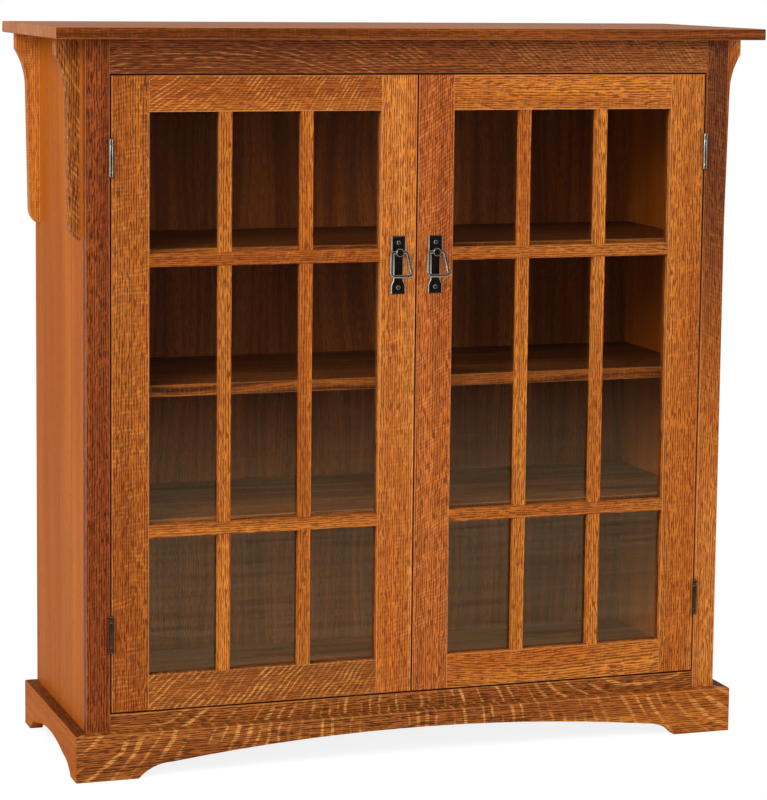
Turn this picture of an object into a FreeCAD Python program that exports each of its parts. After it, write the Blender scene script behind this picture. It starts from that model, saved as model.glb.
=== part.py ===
import FreeCAD, Part
import math
import operator
import os
from types import SimpleNamespace

import Sketcher

# Oak bookcase with two glazed doors on a bracket base, in millimetres.
# X runs to the right, Y to the back and Z up. The origin is on the floor under the middle of the top.

doc = FreeCAD.newDocument("bookcase")

# Driving sizes
SIZES = {
    # The case and its top
    "overall_height": 1232,
    "case_width": 1130,
    "case_depth": 381,
    "case_lift": 58,
    "top_thick": 19,
    "top_side_overhang": 54,
    "top_front_overhang": 32,
    "top_back_overhang": 13,
    "top_edge_round": 2,
    "arris": 0.8,
    "side_thick": 19,
    "back_thick": 6,
    "back_rabbet": 9,
    "bottom_thick": 19,
    "sub_top_thick": 19,
    "stop_rail_thick": 19,
    "door_stop_lap": 10,
    # The face frame round the doors
    "frame_thick": 20,
    "frame_stile_width": 40,
    "top_rail_height": 56,
    "bottom_rail_reveal": 28,
    "frame_tenon_length": 25,
    "frame_tenon_thick": 7,
    "tenon_shoulder": 8,
    # The bracket base
    "base_height": 77,
    "base_thick": 22,
    "base_edge_round": 2,
    "front_foot_length": 105,
    "side_foot_length": 42,
    "cove_run": 55,
    "cove_rise": 24,
    "front_arch_rise": 50,
    "side_arch_rise": 38,
    "back_rail_gap": 22,
    "block_leg": 46,
    "block_low": 22,
    # The brackets under the top
    "corbel_thick": 19,
    "corbel_height": 325,
    "corbel_projection": 41,
    "corbel_nose": 27,
    "corbel_cove_height": 66,
    "corbel_waist": 22,
    "corbel_foot": 18,
    "corbel_toe_run": 13,
    "corbel_toe_rise": 25,
    "front_corbel_inset": 17,
    "back_corbel_inset": 18,
    # Shelves on pins
    "shelf_thick": 20,
    "shelf_setback": 45,
    "shelf_end_gap": 1.5,
    "shelf_back_gap": 3,
    "pin_pitch": 25,
    "first_pin_height": 296,
    "pin_row_inset": 35,
    "pin_front_inset": 40,
    "pin_radius": 2.5,
    "pin_hole_play": 0.1,
    "pin_hole_depth": 10,
    "pin_projection": 9,
    # The doors
    "door_thick": 19.5,
    "door_gap": 3,
    "meeting_gap": 3,
    "door_stile_width": 62.6,
    "door_rail_height": 58.8,
    "door_tenon_length": 38,
    "door_tenon_thick": 6.5,
    "door_tenon_set": 3.2,
    "muntin_width": 21.7,
    "muntin_thick": 10,
    "muntin_recess": 0.5,
    "muntin_row_inset": 302.5,
    "glass_thick": 3,
    "glass_rabbet": 9,
    "glass_play": 1.5,
    # Butt hinges
    "hinge_height": 60,
    "hinge_end_inset": 105,
    "hinge_set_out": 4,
    "knuckle_radius": 3.6,
    "end_knuckle_length": 9,
    "knuckle_gap": 0.3,
    "leaf_thick": 1.25,
    "leaf_depth": 18,
    "hinge_pin_radius": 1.5,
    "hinge_pin_play": 0.05,
    "pin_tip_radius": 3.1,
    "pin_tip_thick": 1.6,
    "hinge_screw_spread": 36,
    "hinge_screw_inset": 11,
    "hinge_screw_head": 2.3,
    "hinge_screw_shank": 1.2,
    "hinge_screw_length": 14,
    # Bail pulls
    "pull_drop": 271,
    "pull_height": 97,
    "pull_width": 25,
    "pull_waist": 17,
    "pull_thick": 3,
    "pull_head_height": 24,
    "pull_foot_height": 15,
    "pull_flare": 8,
    "pull_edge_bevel": 0.8,
    "boss_drop": 27,
    "boss_radius": 7,
    "boss_length": 9,
    "boss_round": 2,
    "bail_bar_thick": 5,
    "bail_pivot_radius": 1.6,
    "bail_pivot_play": 0.1,
    "bail_pivot_depth": 4,
    "bail_side_play": 0.3,
    "bail_shoulder": 13.5,
    "bail_spread": 18.5,
    "bail_length": 41,
    "bail_lean": 18,
    "bail_top_bend": 4,
    "bail_low_bend": 6,
    "pull_screw_inset": 11,
    "pull_screw_head": 3.4,
    "pull_screw_rise": 1.2,
    "pull_screw_shank": 1.5,
    "pull_screw_length": 12,
    # Magnetic catches
    "catch_width": 34,
    "catch_depth": 17,
    "catch_height": 16,
    "catch_play": 0.3,
    "strike_width": 15,
    "strike_height": 12,
    "strike_thick": 1.2,
    # Screws that hold the top
    "top_screw_side_inset": 66,
    "top_screw_inset": 45,
    "top_screw_head": 4.5,
    "top_screw_shank": 2,
    "top_screw_bite": 12,
}

# Counts
PIN_HOLES = 27
SHELF_HOLES = {"lower": 4, "middle": 13, "upper": 22}
SMALL_FLATS = 6
BARREL_FLATS = 12
SIDES = (("left", -1), ("right", 1))

sheet = doc.addObject("Spreadsheet::Sheet", "sizes")
for row, (alias, number) in enumerate(SIZES.items(), start=1):
    cell = "B%d" % row
    sheet.set("A%d" % row, alias.replace("_", " "))
    sheet.set(cell, str(number))
    sheet.setAlias(cell, alias)
doc.recompute()


class Size:
    """A size that carries its number and the formula that ties it to the sheet."""

    def __init__(self, number, formula):
        self.number = float(number)
        self.formula = formula

    def __add__(self, other):
        return combine(self, "+", other)

    def __radd__(self, other):
        return combine(other, "+", self)

    def __sub__(self, other):
        return combine(self, "-", other)

    def __rsub__(self, other):
        return combine(other, "-", self)

    def __mul__(self, other):
        return combine(self, "*", other)

    def __rmul__(self, other):
        return combine(other, "*", self)

    def __truediv__(self, other):
        return combine(self, "/", other)

    def __neg__(self):
        return combine(0, "-", self)


SIGNS = {"+": operator.add, "-": operator.sub, "*": operator.mul, "/": operator.truediv}


def as_size(value):
    """A size as it is, or a bare number as a size."""
    if isinstance(value, Size):
        return value
    return Size(value, "(%s)" % value)


def combine(first, sign, second):
    """The size that an arithmetic sign makes of two others."""
    first = as_size(first)
    second = as_size(second)
    number = SIGNS[sign](first.number, second.number)
    return Size(number, "(%s %s %s)" % (first.formula, sign, second.formula))


s = SimpleNamespace(**{alias: Size(number, "sizes." + alias) for alias, number in SIZES.items()})


def tie(thing, **sizes):
    """Bind properties of an object to sizes; x, y and z are its place."""
    for name, value in sizes.items():
        path = "Placement.Base." + name if name in ("x", "y", "z") else name
        thing.setExpression(path, as_size(value).formula)
    return thing


def beside(sign, near, far):
    """Low x and width of a piece that lies from near to far of the middle, on one side of it."""
    low = near if sign > 0 else -far
    return low, far - near


# Builders for blocks, rods and booleans
def block(name, x, y, z, width, depth, height):
    """A rectangular block from its low corner and its three lengths."""
    made = doc.addObject("Part::Box", name)
    return tie(made, Length=width, Width=depth, Height=height, x=x, y=y, z=z)


TOWARD = {
    "up": FreeCAD.Rotation(),
    "front": FreeCAD.Rotation(FreeCAD.Vector(1, 0, 0), 90),
    "back": FreeCAD.Rotation(FreeCAD.Vector(1, 0, 0), -90),
    "right": FreeCAD.Rotation(FreeCAD.Vector(0, 1, 0), 90),
    "left": FreeCAD.Rotation(FreeCAD.Vector(0, 1, 0), -90),
}


def rod(name, x, y, z, radius, length, toward="up"):
    """A round rod that starts at a point and runs one way."""
    made = doc.addObject("Part::Cylinder", name)
    made.Placement = FreeCAD.Placement(FreeCAD.Vector(), TOWARD[toward])
    return tie(made, Radius=radius, Height=length, x=x, y=y, z=z)


def corner_radius(radius, flats=SMALL_FLATS):
    """How far the corners of a faceted rod or hole are from its middle, if its flats are at a radius."""
    return radius / math.cos(math.pi / flats)


def faceted_rod(name, x, y, z, radius, length, toward="up", flats=SMALL_FLATS):
    """A thin rod whose flats are at a radius, the first of them square to its own x."""
    made = doc.addObject("Part::Prism", name)
    made.Polygon = flats
    half_flat = FreeCAD.Rotation(FreeCAD.Vector(0, 0, 1), 180 / flats)
    made.Placement = FreeCAD.Placement(FreeCAD.Vector(), TOWARD[toward].multiply(half_flat))
    return tie(made, Circumradius=corner_radius(radius, flats), Height=length, x=x, y=y, z=z)


def cone(name, x, y, z, first_radius, last_radius, length, toward="up"):
    """A round taper that starts at a point and runs one way."""
    made = doc.addObject("Part::Cone", name)
    made.Placement = FreeCAD.Placement(FreeCAD.Vector(), TOWARD[toward])
    return tie(made, Radius1=first_radius, Radius2=last_radius, Height=length, x=x, y=y, z=z)


def fuse(name, members):
    """Several touching solids made one."""
    made = doc.addObject("Part::MultiFuse", name)
    made.Shapes = members
    made.Refine = True
    return made


def group(name, members):
    """Several separate solids kept together under one name."""
    made = doc.addObject("Part::Compound", name)
    made.Links = members
    return made


def cut(name, base, tools):
    """A solid less the tools that cross it."""
    made = doc.addObject("Part::Cut", name)
    made.Base = base
    made.Tool = tools[0] if len(tools) == 1 else group(name + "_cuts", tools)
    return made


def eased(kind, base, size, chosen):
    """A solid whose chosen edges are rounded (Fillet) or bevelled (Chamfer)."""
    doc.recompute()
    made = doc.addObject("Part::" + kind, base.Name + "_eased")
    made.Base = base
    picked = [place for place, edge in enumerate(base.Shape.Edges, start=1) if chosen(edge)]
    made.Edges = [(place, size.number, size.number) for place in picked]
    return made


def edges_at(**places):
    """A test for the edges that lie at each given place along x, y or z."""

    def chosen(edge):
        box = edge.BoundBox
        for axis, place in places.items():
            low = getattr(box, axis.upper() + "Min")
            high = getattr(box, axis.upper() + "Max")
            if not near(low, place.number) or not near(high, place.number):
                return False
        return True

    return chosen


def softened(base, *tests):
    """A board whose arrises are taken off along the edges that pass any of the tests."""
    return eased("Chamfer", base, s.arris, lambda edge: any(test(edge) for test in tests))


def screw(name, x, y, z, toward, head, shank, head_length, shank_length):
    """A flush screw whose head starts at a point, head and shank in one solid."""
    step = {"left": (-1, 0, 0), "right": (1, 0, 0), "back": (0, 1, 0), "up": (0, 0, 1)}[toward]
    ends = [place + part * head_length for place, part in zip((x, y, z), step)]
    disc = faceted_rod(name + "_head", x, y, z, head, head_length, toward)
    body = faceted_rod(name + "_shank", ends[0], ends[1], ends[2], shank, shank_length, toward)
    return fuse(name, [disc, body])


# Builders for sketched bodies
def origin_plane(body, role):
    """One of a body's own origin planes."""
    return [plane for plane in body.Origin.OriginFeatures if plane.Role == role][0]


def sketch_on(body, role, name, offset=None):
    """An empty sketch on a body's own plane, moved along the plane's normal if asked."""
    sketch = body.newObject("Sketcher::SketchObject", name)
    sketch.AttachmentSupport = (origin_plane(body, role), [""])
    sketch.MapMode = "FlatFace"
    if offset is not None:
        sketch.setExpression("AttachmentOffset.Base.z", offset.formula)
    return sketch


def pin_point(sketch, line, end, across, along):
    """Fix one end of a sketch line by its two distances from the sketch's origin."""
    for kind, value in (("DistanceX", across), ("DistanceY", along)):
        value = as_size(value)
        rule = Sketcher.Constraint(kind, -1, 1, line, end, value.number)
        place = sketch.addConstraint(rule)
        sketch.setExpression("Constraints[%d]" % place, value.formula)


def arc_between(first, last, radius, side):
    """The arc of a radius between two points, with its centre on the left (1) or right (-1)."""
    chord = last - first
    half = chord.Length / 2
    reach = math.sqrt(max(radius * radius - half * half, 0))
    normal = FreeCAD.Vector(-chord.y, chord.x, 0).normalize()
    centre = (first + last) * 0.5 + normal * (side * reach)
    start, stop = (first, last) if side > 0 else (last, first)
    start_angle = math.atan2(start.y - centre.y, start.x - centre.x)
    stop_angle = math.atan2(stop.y - centre.y, stop.x - centre.x)
    circle = Part.Circle(centre, FreeCAD.Vector(0, 0, 1), radius)
    return Part.ArcOfCircle(circle, start_angle, stop_angle)


def outline(sketch, corners, arcs=None):
    """Close a sketch through its corners; arcs maps a side's number to its radius and hand."""
    arcs = arcs or {}
    first = sketch.GeometryCount
    points = [FreeCAD.Vector(as_size(a).number, as_size(b).number, 0) for a, b in corners]
    starts = []
    for place, point in enumerate(points):
        following = points[(place + 1) % len(points)]
        if place in arcs:
            radius, side = arcs[place]
            sketch.addGeometry(arc_between(point, following, radius.number, side), False)
            starts.append((1, 2) if side > 0 else (2, 1))
        else:
            sketch.addGeometry(Part.LineSegment(point, following), False)
            starts.append((1, 2))
    for place, (across, along) in enumerate(corners):
        following = (place + 1) % len(points)
        ends = (first + place, starts[place][1], first + following, starts[following][0])
        sketch.addConstraint(Sketcher.Constraint("Coincident", *ends))
        pin_point(sketch, first + place, starts[place][0], across, along)
    for place, (radius, side) in arcs.items():
        rule = sketch.addConstraint(Sketcher.Constraint("Radius", first + place, radius.number))
        sketch.setExpression("Constraints[%d]" % rule, radius.formula)
    return sketch


def pad(body, sketch, name, length):
    """Give a sketched outline its thickness."""
    made = body.newObject("PartDesign::Pad", name)
    made.Profile = sketch
    return tie(made, Length=length)


def pocket(body, sketch, name, length=None, reversed_way=False):
    """Sink a sketched outline into the body, or cut it right through both ways."""
    made = body.newObject("PartDesign::Pocket", name)
    made.Profile = sketch
    if length is None:
        made.Type = "ThroughAll"
        made.SideType = "Symmetric"
        return made
    made.Reversed = reversed_way
    return tie(made, Length=length)


def ease_edges(body, name, kind, chosen, **size):
    """Round (Fillet) or bevel (Chamfer) the chosen edges of a body's last feature."""
    doc.recompute()
    last = body.Tip
    made = body.newObject("PartDesign::" + kind, name)
    picked = ["Edge%d" % place for place, edge in enumerate(last.Shape.Edges, start=1) if chosen(edge)]
    made.Base = (last, picked)
    body.Tip = made
    return tie(made, **size)


def sagitta_radius(run, rise):
    """Radius of the arc that leaves one end level and falls by rise over run."""
    return (run * run + rise * rise) / (2 * rise)


def near(first, second):
    """True where two plain numbers are the same place."""
    return abs(first - second) < 0.001


finished = []


def keep(thing, label):
    """Name a finished sub-part and put it on the list of pieces."""
    thing.Label = label
    finished.append(thing)
    return thing


# Places worked out from the sizes
half_case = s.case_width / 2
inner_half = half_case - s.side_thick
half_opening = half_case - s.frame_stile_width
front = -(s.case_depth + s.top_back_overhang - s.top_front_overhang) / 2
back = front + s.case_depth
behind_frame = front + s.frame_thick
before_back = back - s.back_thick
under_top = s.overall_height - s.top_thick
opening_top = under_top - s.top_rail_height
opening_low = s.base_height + s.bottom_rail_reveal
floor_top = opening_low + s.door_stop_lap
stop_low = opening_top - s.door_stop_lap
inner_depth = before_back - behind_frame


def top_screw_places():
    """Where the screws go up through the sub-top into the top: three across, two deep."""
    for column in (-1, 0, 1):
        yield column, "front", behind_frame + s.top_screw_inset
        yield column, "back", before_back - s.top_screw_inset


def case_top():
    """The solid top with its eased edges, and the panel below it that it is screwed to."""
    screws = []
    for column, row, depth in top_screw_places():
        name = "top_screw_%s_%d" % (row, column + 1)
        x = column * (inner_half - s.top_screw_side_inset)
        grip = s.sub_top_thick / 2
        low = under_top - s.sub_top_thick
        rise = s.sub_top_thick - grip + s.top_screw_bite
        screws.append(screw(name, x, depth, low, "up", s.top_screw_head, s.top_screw_shank, grip, rise))
    width = s.case_width + 2 * s.top_side_overhang
    depth = s.case_depth + s.top_front_overhang + s.top_back_overhang
    left = -half_case - s.top_side_overhang
    slab = block("top_slab", left, front - s.top_front_overhang, under_top, width, depth, s.top_thick)
    soft = eased("Fillet", slab, s.top_edge_round, lambda edge: near(edge.BoundBox.ZLength, 0))
    keep(cut("top_cut", soft, screws), "top_board")
    sub_low = under_top - s.sub_top_thick
    width = 2 * inner_half
    panel = block("sub_top_blank", -inner_half, behind_frame, sub_low, width, inner_depth, s.sub_top_thick)
    keep(cut("sub_top_cut", panel, screws), "sub_top")
    keep(group("top_screw_set", screws), "top_screws")


def hole_corners(across, along):
    """Corners of a pin hole, which has as many flats as its pin, one of them on top, and some play."""
    reach = corner_radius(s.pin_radius + s.pin_hole_play)
    corners = []
    for number in range(SMALL_FLATS):
        angle = 2 * math.pi * (number + 0.5) / SMALL_FLATS
        corners.append((across + reach * math.sin(angle), along + reach * math.cos(angle)))
    return corners


def side_panel(side, sign):
    """A side with two columns of shelf-pin holes and a rabbet for the back."""
    low, width = beside(sign, inner_half, half_case)
    body = doc.addObject("PartDesign::Body", "side_%s_body" % side)
    tie(body, x=low)
    face = sketch_on(body, "YZ_Plane", "side_%s_outline" % side)
    ends = (behind_frame, back)
    levels = (s.case_lift, under_top)
    outline(face, [(ends[0], levels[0]), (ends[1], levels[0]), (ends[1], levels[1]), (ends[0], levels[1])])
    pad(body, face, "side_%s_board" % side, width)
    doc.recompute()
    whole = body.Tip.Shape.Volume
    # The inner face is the high one on the left side and the low one on the right
    inner = width if sign < 0 else width * 0
    holes = sketch_on(body, "YZ_Plane", "side_%s_pin_holes" % side, inner)
    for row in (pin_row_front, pin_row_back):
        outline(holes, hole_corners(row, s.first_pin_height))
    drilled = pocket(body, holes, "side_%s_drilled" % side, s.pin_hole_depth, sign > 0)
    column = body.newObject("PartDesign::LinearPattern", "side_%s_hole_column" % side)
    column.Originals = [drilled]
    column.Direction = (holes, ["V_Axis"])
    column.Occurrences = PIN_HOLES
    tie(column, Length=s.pin_pitch * (PIN_HOLES - 1))
    body.Tip = column
    step = sketch_on(body, "YZ_Plane", "side_%s_step" % side, inner)
    step_ends = (before_back, back)
    corners = [(step_ends[0], levels[0]), (step_ends[1], levels[0])]
    corners += [(step_ends[1], levels[1]), (step_ends[0], levels[1])]
    outline(step, corners)
    pocket(body, step, "side_%s_rabbet" % side, s.back_rabbet, sign > 0)
    doc.recompute()
    print(side, "side lost", round(whole - body.Shape.Volume), "mm3 to its holes and rabbet")
    keep(body, "side_panel_" + side)


def case_boards():
    """The bottom, the rail that the doors close against, and the thin back."""
    width = 2 * inner_half
    bottom_low = floor_top - s.bottom_thick
    bottom = block("bottom_blank", -inner_half, behind_frame, bottom_low, width, inner_depth, s.bottom_thick)
    keep(bottom, "case_bottom")
    rise = under_top - s.sub_top_thick - stop_low
    rail = block("stop_blank", -inner_half, behind_frame, stop_low, width, s.stop_rail_thick, rise)
    keep(rail, "door_stop_rail")
    reach = inner_half + s.back_rabbet
    rise = under_top - s.case_lift
    panel = block("back_blank", -reach, before_back, s.case_lift, 2 * reach, s.back_thick, rise)
    keep(panel, "back_panel")


def frame_tenon(name, sign, low, height):
    """A tenon of a face-frame rail, which also cuts its mortise."""
    x, length = beside(sign, half_opening, half_opening + s.frame_tenon_length)
    y = front + (s.frame_thick - s.frame_tenon_thick) / 2
    z = low + s.tenon_shoulder
    return block(name, x, y, z, length, s.frame_tenon_thick, height - 2 * s.tenon_shoulder)


def face_frame(hinge_screws):
    """Stiles and rails joined by tenons, with the hinge screws' pilot holes in the stiles."""
    rails = (("top", opening_top, s.top_rail_height), ("bottom", s.case_lift, opening_low - s.case_lift))
    tenons = {"left": [], "right": []}
    for end, low, height in rails:
        name = "frame_%s_blank" % end
        members = [block(name, -half_opening, front, low, 2 * half_opening, s.frame_thick, height)]
        for side, sign in SIDES:
            tenon = frame_tenon("frame_%s_tenon_%s" % (end, side), sign, low, height)
            tenons[side].append(tenon)
            members.append(tenon)
        keep(fuse("frame_%s_joined" % end, members), "frame_%s_rail" % end)
    for side, sign in SIDES:
        x, width = beside(sign, half_opening, half_case)
        rise = under_top - s.case_lift
        blank = block("frame_stile_%s_blank" % side, x, front, s.case_lift, width, s.frame_thick, rise)
        board = softened(blank, edges_at(x=sign * half_case, y=front))
        stile = cut("frame_stile_%s_cut" % side, board, tenons[side] + hinge_screws[side])
        keep(stile, "frame_stile_" + side)


# The bracket base
def arch_outline(sketch, low_end, high_end, foot, arch_rise):
    """The space under a base board: a cove at each foot and a shallow arch between them."""
    below = -s.base_thick
    foot_low = low_end + foot
    foot_high = high_end - foot
    arch_low = foot_low + s.cove_run
    arch_high = foot_high - s.cove_run
    half_span = (arch_high - arch_low) / 2
    arch = sagitta_radius(half_span, arch_rise - s.cove_rise)
    cove = sagitta_radius(s.cove_run, s.cove_rise)
    corners = [(foot_low, 0), (arch_low, s.cove_rise), (arch_high, s.cove_rise), (foot_high, 0)]
    corners += [(foot_high, below), (foot_low, below)]
    outline(sketch, corners, {0: (cove, -1), 1: (arch, -1), 2: (cove, -1)})


def base_board(label, plan, arch_plane, arch_ends, foot, arch_rise, outer_edge):
    """A base board from its mitred plan, arched underneath and eased along its outer top edge."""
    body = doc.addObject("PartDesign::Body", label + "_body")
    footprint = sketch_on(body, "XY_Plane", label + "_plan")
    outline(footprint, plan)
    pad(body, footprint, label + "_board", s.base_height)
    doc.recompute()
    whole = body.Tip.Shape.Volume
    space = sketch_on(body, arch_plane, label + "_arch")
    arch_outline(space, arch_ends[0], arch_ends[1], foot, arch_rise)
    pocket(body, space, label + "_arched")
    ease_edges(body, label + "_eased", "Fillet", outer_edge, Radius=s.base_edge_round)
    doc.recompute()
    print(label, "lost", round(whole - body.Shape.Volume), "mm3 to its arch")
    keep(body, label)


def base_front_board():
    """The front board of the base, mitred at both ends."""
    outer = half_case + s.base_thick
    face = front - s.base_thick
    plan = [(-outer, face), (outer, face), (half_case, front), (-half_case, front)]

    def outer_top(edge):
        middle = edge.CenterOfMass
        return near(middle.z, s.base_height.number) and near(middle.y, face.number)

    ends = (-outer, outer)
    base_board("base_front", plan, "XZ_Plane", ends, s.front_foot_length, s.front_arch_rise, outer_top)


def base_side_board(side, sign):
    """A side board of the base, mitred to the front one and square at the back."""
    outer = half_case + s.base_thick
    face = front - s.base_thick
    plan = [(sign * half_case, front), (sign * outer, face), (sign * outer, back), (sign * half_case, back)]
    if sign < 0:
        plan.reverse()

    def outer_top(edge):
        middle = edge.CenterOfMass
        return near(middle.z, s.base_height.number) and near(abs(middle.x), outer.number)

    ends = (face, back)
    base_board("base_" + side, plan, "YZ_Plane", ends, s.side_foot_length, s.side_arch_rise, outer_top)


def base_back_rail():
    """The plain rail at the back of the base, raised off the floor between its ends."""
    face = back - s.base_thick
    rail = block("back_rail_blank", -half_case, face, 0, 2 * half_case, s.base_thick, s.case_lift)
    left = -half_case + s.front_foot_length
    space = block("back_rail_space", left, face, 0, -2 * left, s.base_thick, s.back_rail_gap)
    keep(cut("back_rail_cut", rail, [space]), "base_back_rail")


def corner_blocks():
    """Glue blocks in the four inner corners of the base, which the case stands on."""
    blocks = []
    for side, sign in SIDES:
        for end, y, step in (("front", front, 1), ("back", back - s.base_thick, -1)):
            name = "block_%s_%s" % (end, side)
            body = doc.addObject("PartDesign::Body", name)
            tie(body, z=s.block_low)
            corner = (sign * half_case, y)
            along = (sign * (half_case - s.block_leg), y)
            deep = (sign * half_case, y + step * s.block_leg)
            plan = [corner, along, deep] if sign * step < 0 else [corner, deep, along]
            outline(sketch_on(body, "XY_Plane", name + "_plan"), plan)
            pad(body, body.Group[-1], name + "_pad", s.case_lift - s.block_low)
            blocks.append(body)
    keep(group("corner_block_set", blocks), "base_corner_blocks")


def corbel(end, side, sign, y_back):
    """A shaped bracket: a square nose under the top, a cove, a long taper and a rounded toe."""
    low = under_top - s.corbel_height
    name = "corbel_%s_%s" % (end, side)
    body = doc.addObject("PartDesign::Body", name + "_body")
    tie(body, y=y_back)
    nose_low = under_top - s.corbel_nose
    cove_low = nose_low - s.corbel_cove_height
    toe_top = low + s.corbel_toe_rise
    profile = [
        (0, under_top),
        (s.corbel_projection, under_top),
        (s.corbel_projection, nose_low),
        (s.corbel_waist, cove_low),
        (s.corbel_foot, toe_top),
        (s.corbel_foot - s.corbel_toe_run, low),
        (0, low),
    ]
    cove = sagitta_radius(s.corbel_cove_height, s.corbel_projection - s.corbel_waist)
    toe = sagitta_radius(s.corbel_toe_rise, s.corbel_toe_run)
    corners = [(sign * (half_case + out), up) for out, up in profile]
    arcs = {2: (cove, sign), 4: (toe, -sign)}
    outline(sketch_on(body, "XZ_Plane", name + "_profile"), corners, arcs)
    pad(body, body.Group[-1], name + "_pad", s.corbel_thick)

    def outer_edge(edge):
        middle = edge.CenterOfMass
        seated = near(abs(middle.x), half_case.number) or near(middle.z, under_top.number)
        return near(edge.BoundBox.YLength, 0) and not seated

    ease_edges(body, name + "_eased", "Chamfer", outer_edge, Size=s.arris)
    keep(body, name)


def corbels():
    """Two brackets on each side, near its front and its back edge."""
    front_face = behind_frame + s.front_corbel_inset + s.corbel_thick
    for side, sign in SIDES:
        corbel("front", side, sign, front_face)
        corbel("back", side, sign, back - s.back_corbel_inset)


# Shelves and the pins that carry them
pin_row_front = front + s.shelf_setback + s.pin_front_inset
pin_row_back = before_back - s.pin_row_inset


def shelves():
    """Three loose shelves, each on four pins pressed into the sides."""
    pins = []
    for level, hole in SHELF_HOLES.items():
        height = s.first_pin_height + hole * s.pin_pitch
        for side, sign in SIDES:
            start = sign * (inner_half + s.pin_hole_depth)
            toward = "left" if sign > 0 else "right"
            length = s.pin_hole_depth + s.pin_projection
            for row, y in (("front", pin_row_front), ("back", pin_row_back)):
                name = "pin_%s_%s_%s" % (level, row, side)
                pins.append(faceted_rod(name, start, y, height, s.pin_radius, length, toward))
        half_width = inner_half - s.shelf_end_gap
        shelf_front = front + s.shelf_setback
        depth = before_back - s.shelf_back_gap - shelf_front
        bottom = height + s.pin_radius
        name = "shelf_%s_board" % level
        board = block(name, -half_width, shelf_front, bottom, 2 * half_width, depth, s.shelf_thick)
        low_edge = edges_at(y=shelf_front, z=bottom)
        high_edge = edges_at(y=shelf_front, z=bottom + s.shelf_thick)
        keep(softened(board, low_edge, high_edge), "shelf_" + level)
    keep(group("pin_set", pins), "shelf_pins")


# Hinges
hinge_x = half_opening - s.door_gap / 2
hinge_y = front - s.hinge_set_out
HINGE_ENDS = ("upper", "lower")


def hinge_low(end):
    """Height of a hinge's lower end."""
    if end == "upper":
        return opening_top - s.hinge_end_inset - s.hinge_height
    return opening_low + s.hinge_end_inset


def knuckles(name, x, low, spans):
    """The barrel lengths that one leaf carries."""
    members = []
    for number, (start, length) in enumerate(spans):
        part = "%s_knuckle_%d" % (name, number)
        place = (x, hinge_y, low + start)
        members.append(faceted_rod(part, *place, s.knuckle_radius, length, flats=BARREL_FLATS))
    return members


def hinge_leaf(name, sign, edge_near, end, spans, screws):
    """One leaf: a flat plate in the gap, its webs and knuckles, its bore and screw holes."""
    low = hinge_low(end)
    plate_x, plate_width = beside(sign, edge_near, edge_near + s.leaf_thick)
    members = [block(name + "_plate", plate_x, front, low, plate_width, s.leaf_depth, s.hinge_height)]
    for number, (start, length) in enumerate(spans):
        web = "%s_web_%d" % (name, number)
        members.append(block(web, plate_x, hinge_y, low + start, plate_width, s.hinge_set_out, length))
    members += knuckles(name, sign * hinge_x, low, spans)
    bore = s.hinge_pin_radius + s.hinge_pin_play
    place = (sign * hinge_x, hinge_y, low)
    hole = faceted_rod(name + "_bore", *place, bore, s.hinge_height, flats=BARREL_FLATS)
    return cut(name, fuse(name + "_whole", members), [hole] + screws)


def hinge_screw_pair(name, sign, face, end, outward):
    """The two screws of a leaf, heads flush with the face of the leaf in the gap."""
    toward = "right" if sign * outward > 0 else "left"
    pair = []
    for number, step in enumerate((-1, 1)):
        z = hinge_low(end) + (s.hinge_height + step * s.hinge_screw_spread) / 2
        y = front + s.hinge_screw_inset
        sizes = (s.hinge_screw_head, s.hinge_screw_shank, s.leaf_thick, s.hinge_screw_length)
        pair.append(screw("%s_%d" % (name, number), sign * face, y, z, toward, *sizes))
    return pair


def hinges():
    """Four butt hinges; gives back the screws that go into the frame and into each door."""
    frame_screws = {"left": [], "right": []}
    door_screws = {"left": [], "right": []}
    frame_leaves = []
    pins = []
    rise = s.hinge_height
    short = s.end_knuckle_length
    end_spans = ((as_size(0), short), (rise - short, short))
    middle = ((short + s.knuckle_gap, rise - 2 * short - 2 * s.knuckle_gap),)
    for side, sign in SIDES:
        door_leaves = []
        for end in HINGE_ENDS:
            name = "%s_%s" % (end, side)
            frame_near = half_opening - s.leaf_thick
            door_near = half_opening - s.door_gap
            into_frame = hinge_screw_pair("frame_screw_" + name, sign, frame_near, end, 1)
            into_door = hinge_screw_pair("door_screw_" + name, sign, door_near + s.leaf_thick, end, -1)
            leaf = hinge_leaf("frame_leaf_" + name, sign, frame_near, end, end_spans, into_frame)
            frame_leaves.append(leaf)
            leaf = hinge_leaf("door_leaf_" + name, sign, door_near, end, middle, into_door)
            door_leaves.append(leaf)
            frame_screws[side] += into_frame
            door_screws[side] += into_door
            pins.append(hinge_pin("hinge_pin_" + name, sign, end))
        keep(group("door_%s_leaf_set" % side, door_leaves), "door_%s_hinge_leaves" % side)
        keep(group("door_%s_screw_set" % side, door_screws[side]), "door_%s_hinge_screws" % side)
    keep(group("frame_leaf_set", frame_leaves), "hinge_frame_leaves")
    keep(group("hinge_pin_set", pins), "hinge_pins")
    keep(group("frame_screw_set", frame_screws["left"] + frame_screws["right"]), "hinge_frame_screws")
    return frame_screws, door_screws


def hinge_pin(name, sign, end):
    """A hinge pin with a flat button at each end of the barrel."""
    low = hinge_low(end)
    x = sign * hinge_x
    shaft = rod(name + "_shaft", x, hinge_y, low, s.hinge_pin_radius, s.hinge_height)
    tips = []
    for tip, z in (("low", low - s.pin_tip_thick), ("high", low + s.hinge_height)):
        tips.append(faceted_rod("%s_%s_tip" % (name, tip), x, hinge_y, z, s.pin_tip_radius, s.pin_tip_thick))
    return fuse(name, [shaft] + tips)


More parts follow.
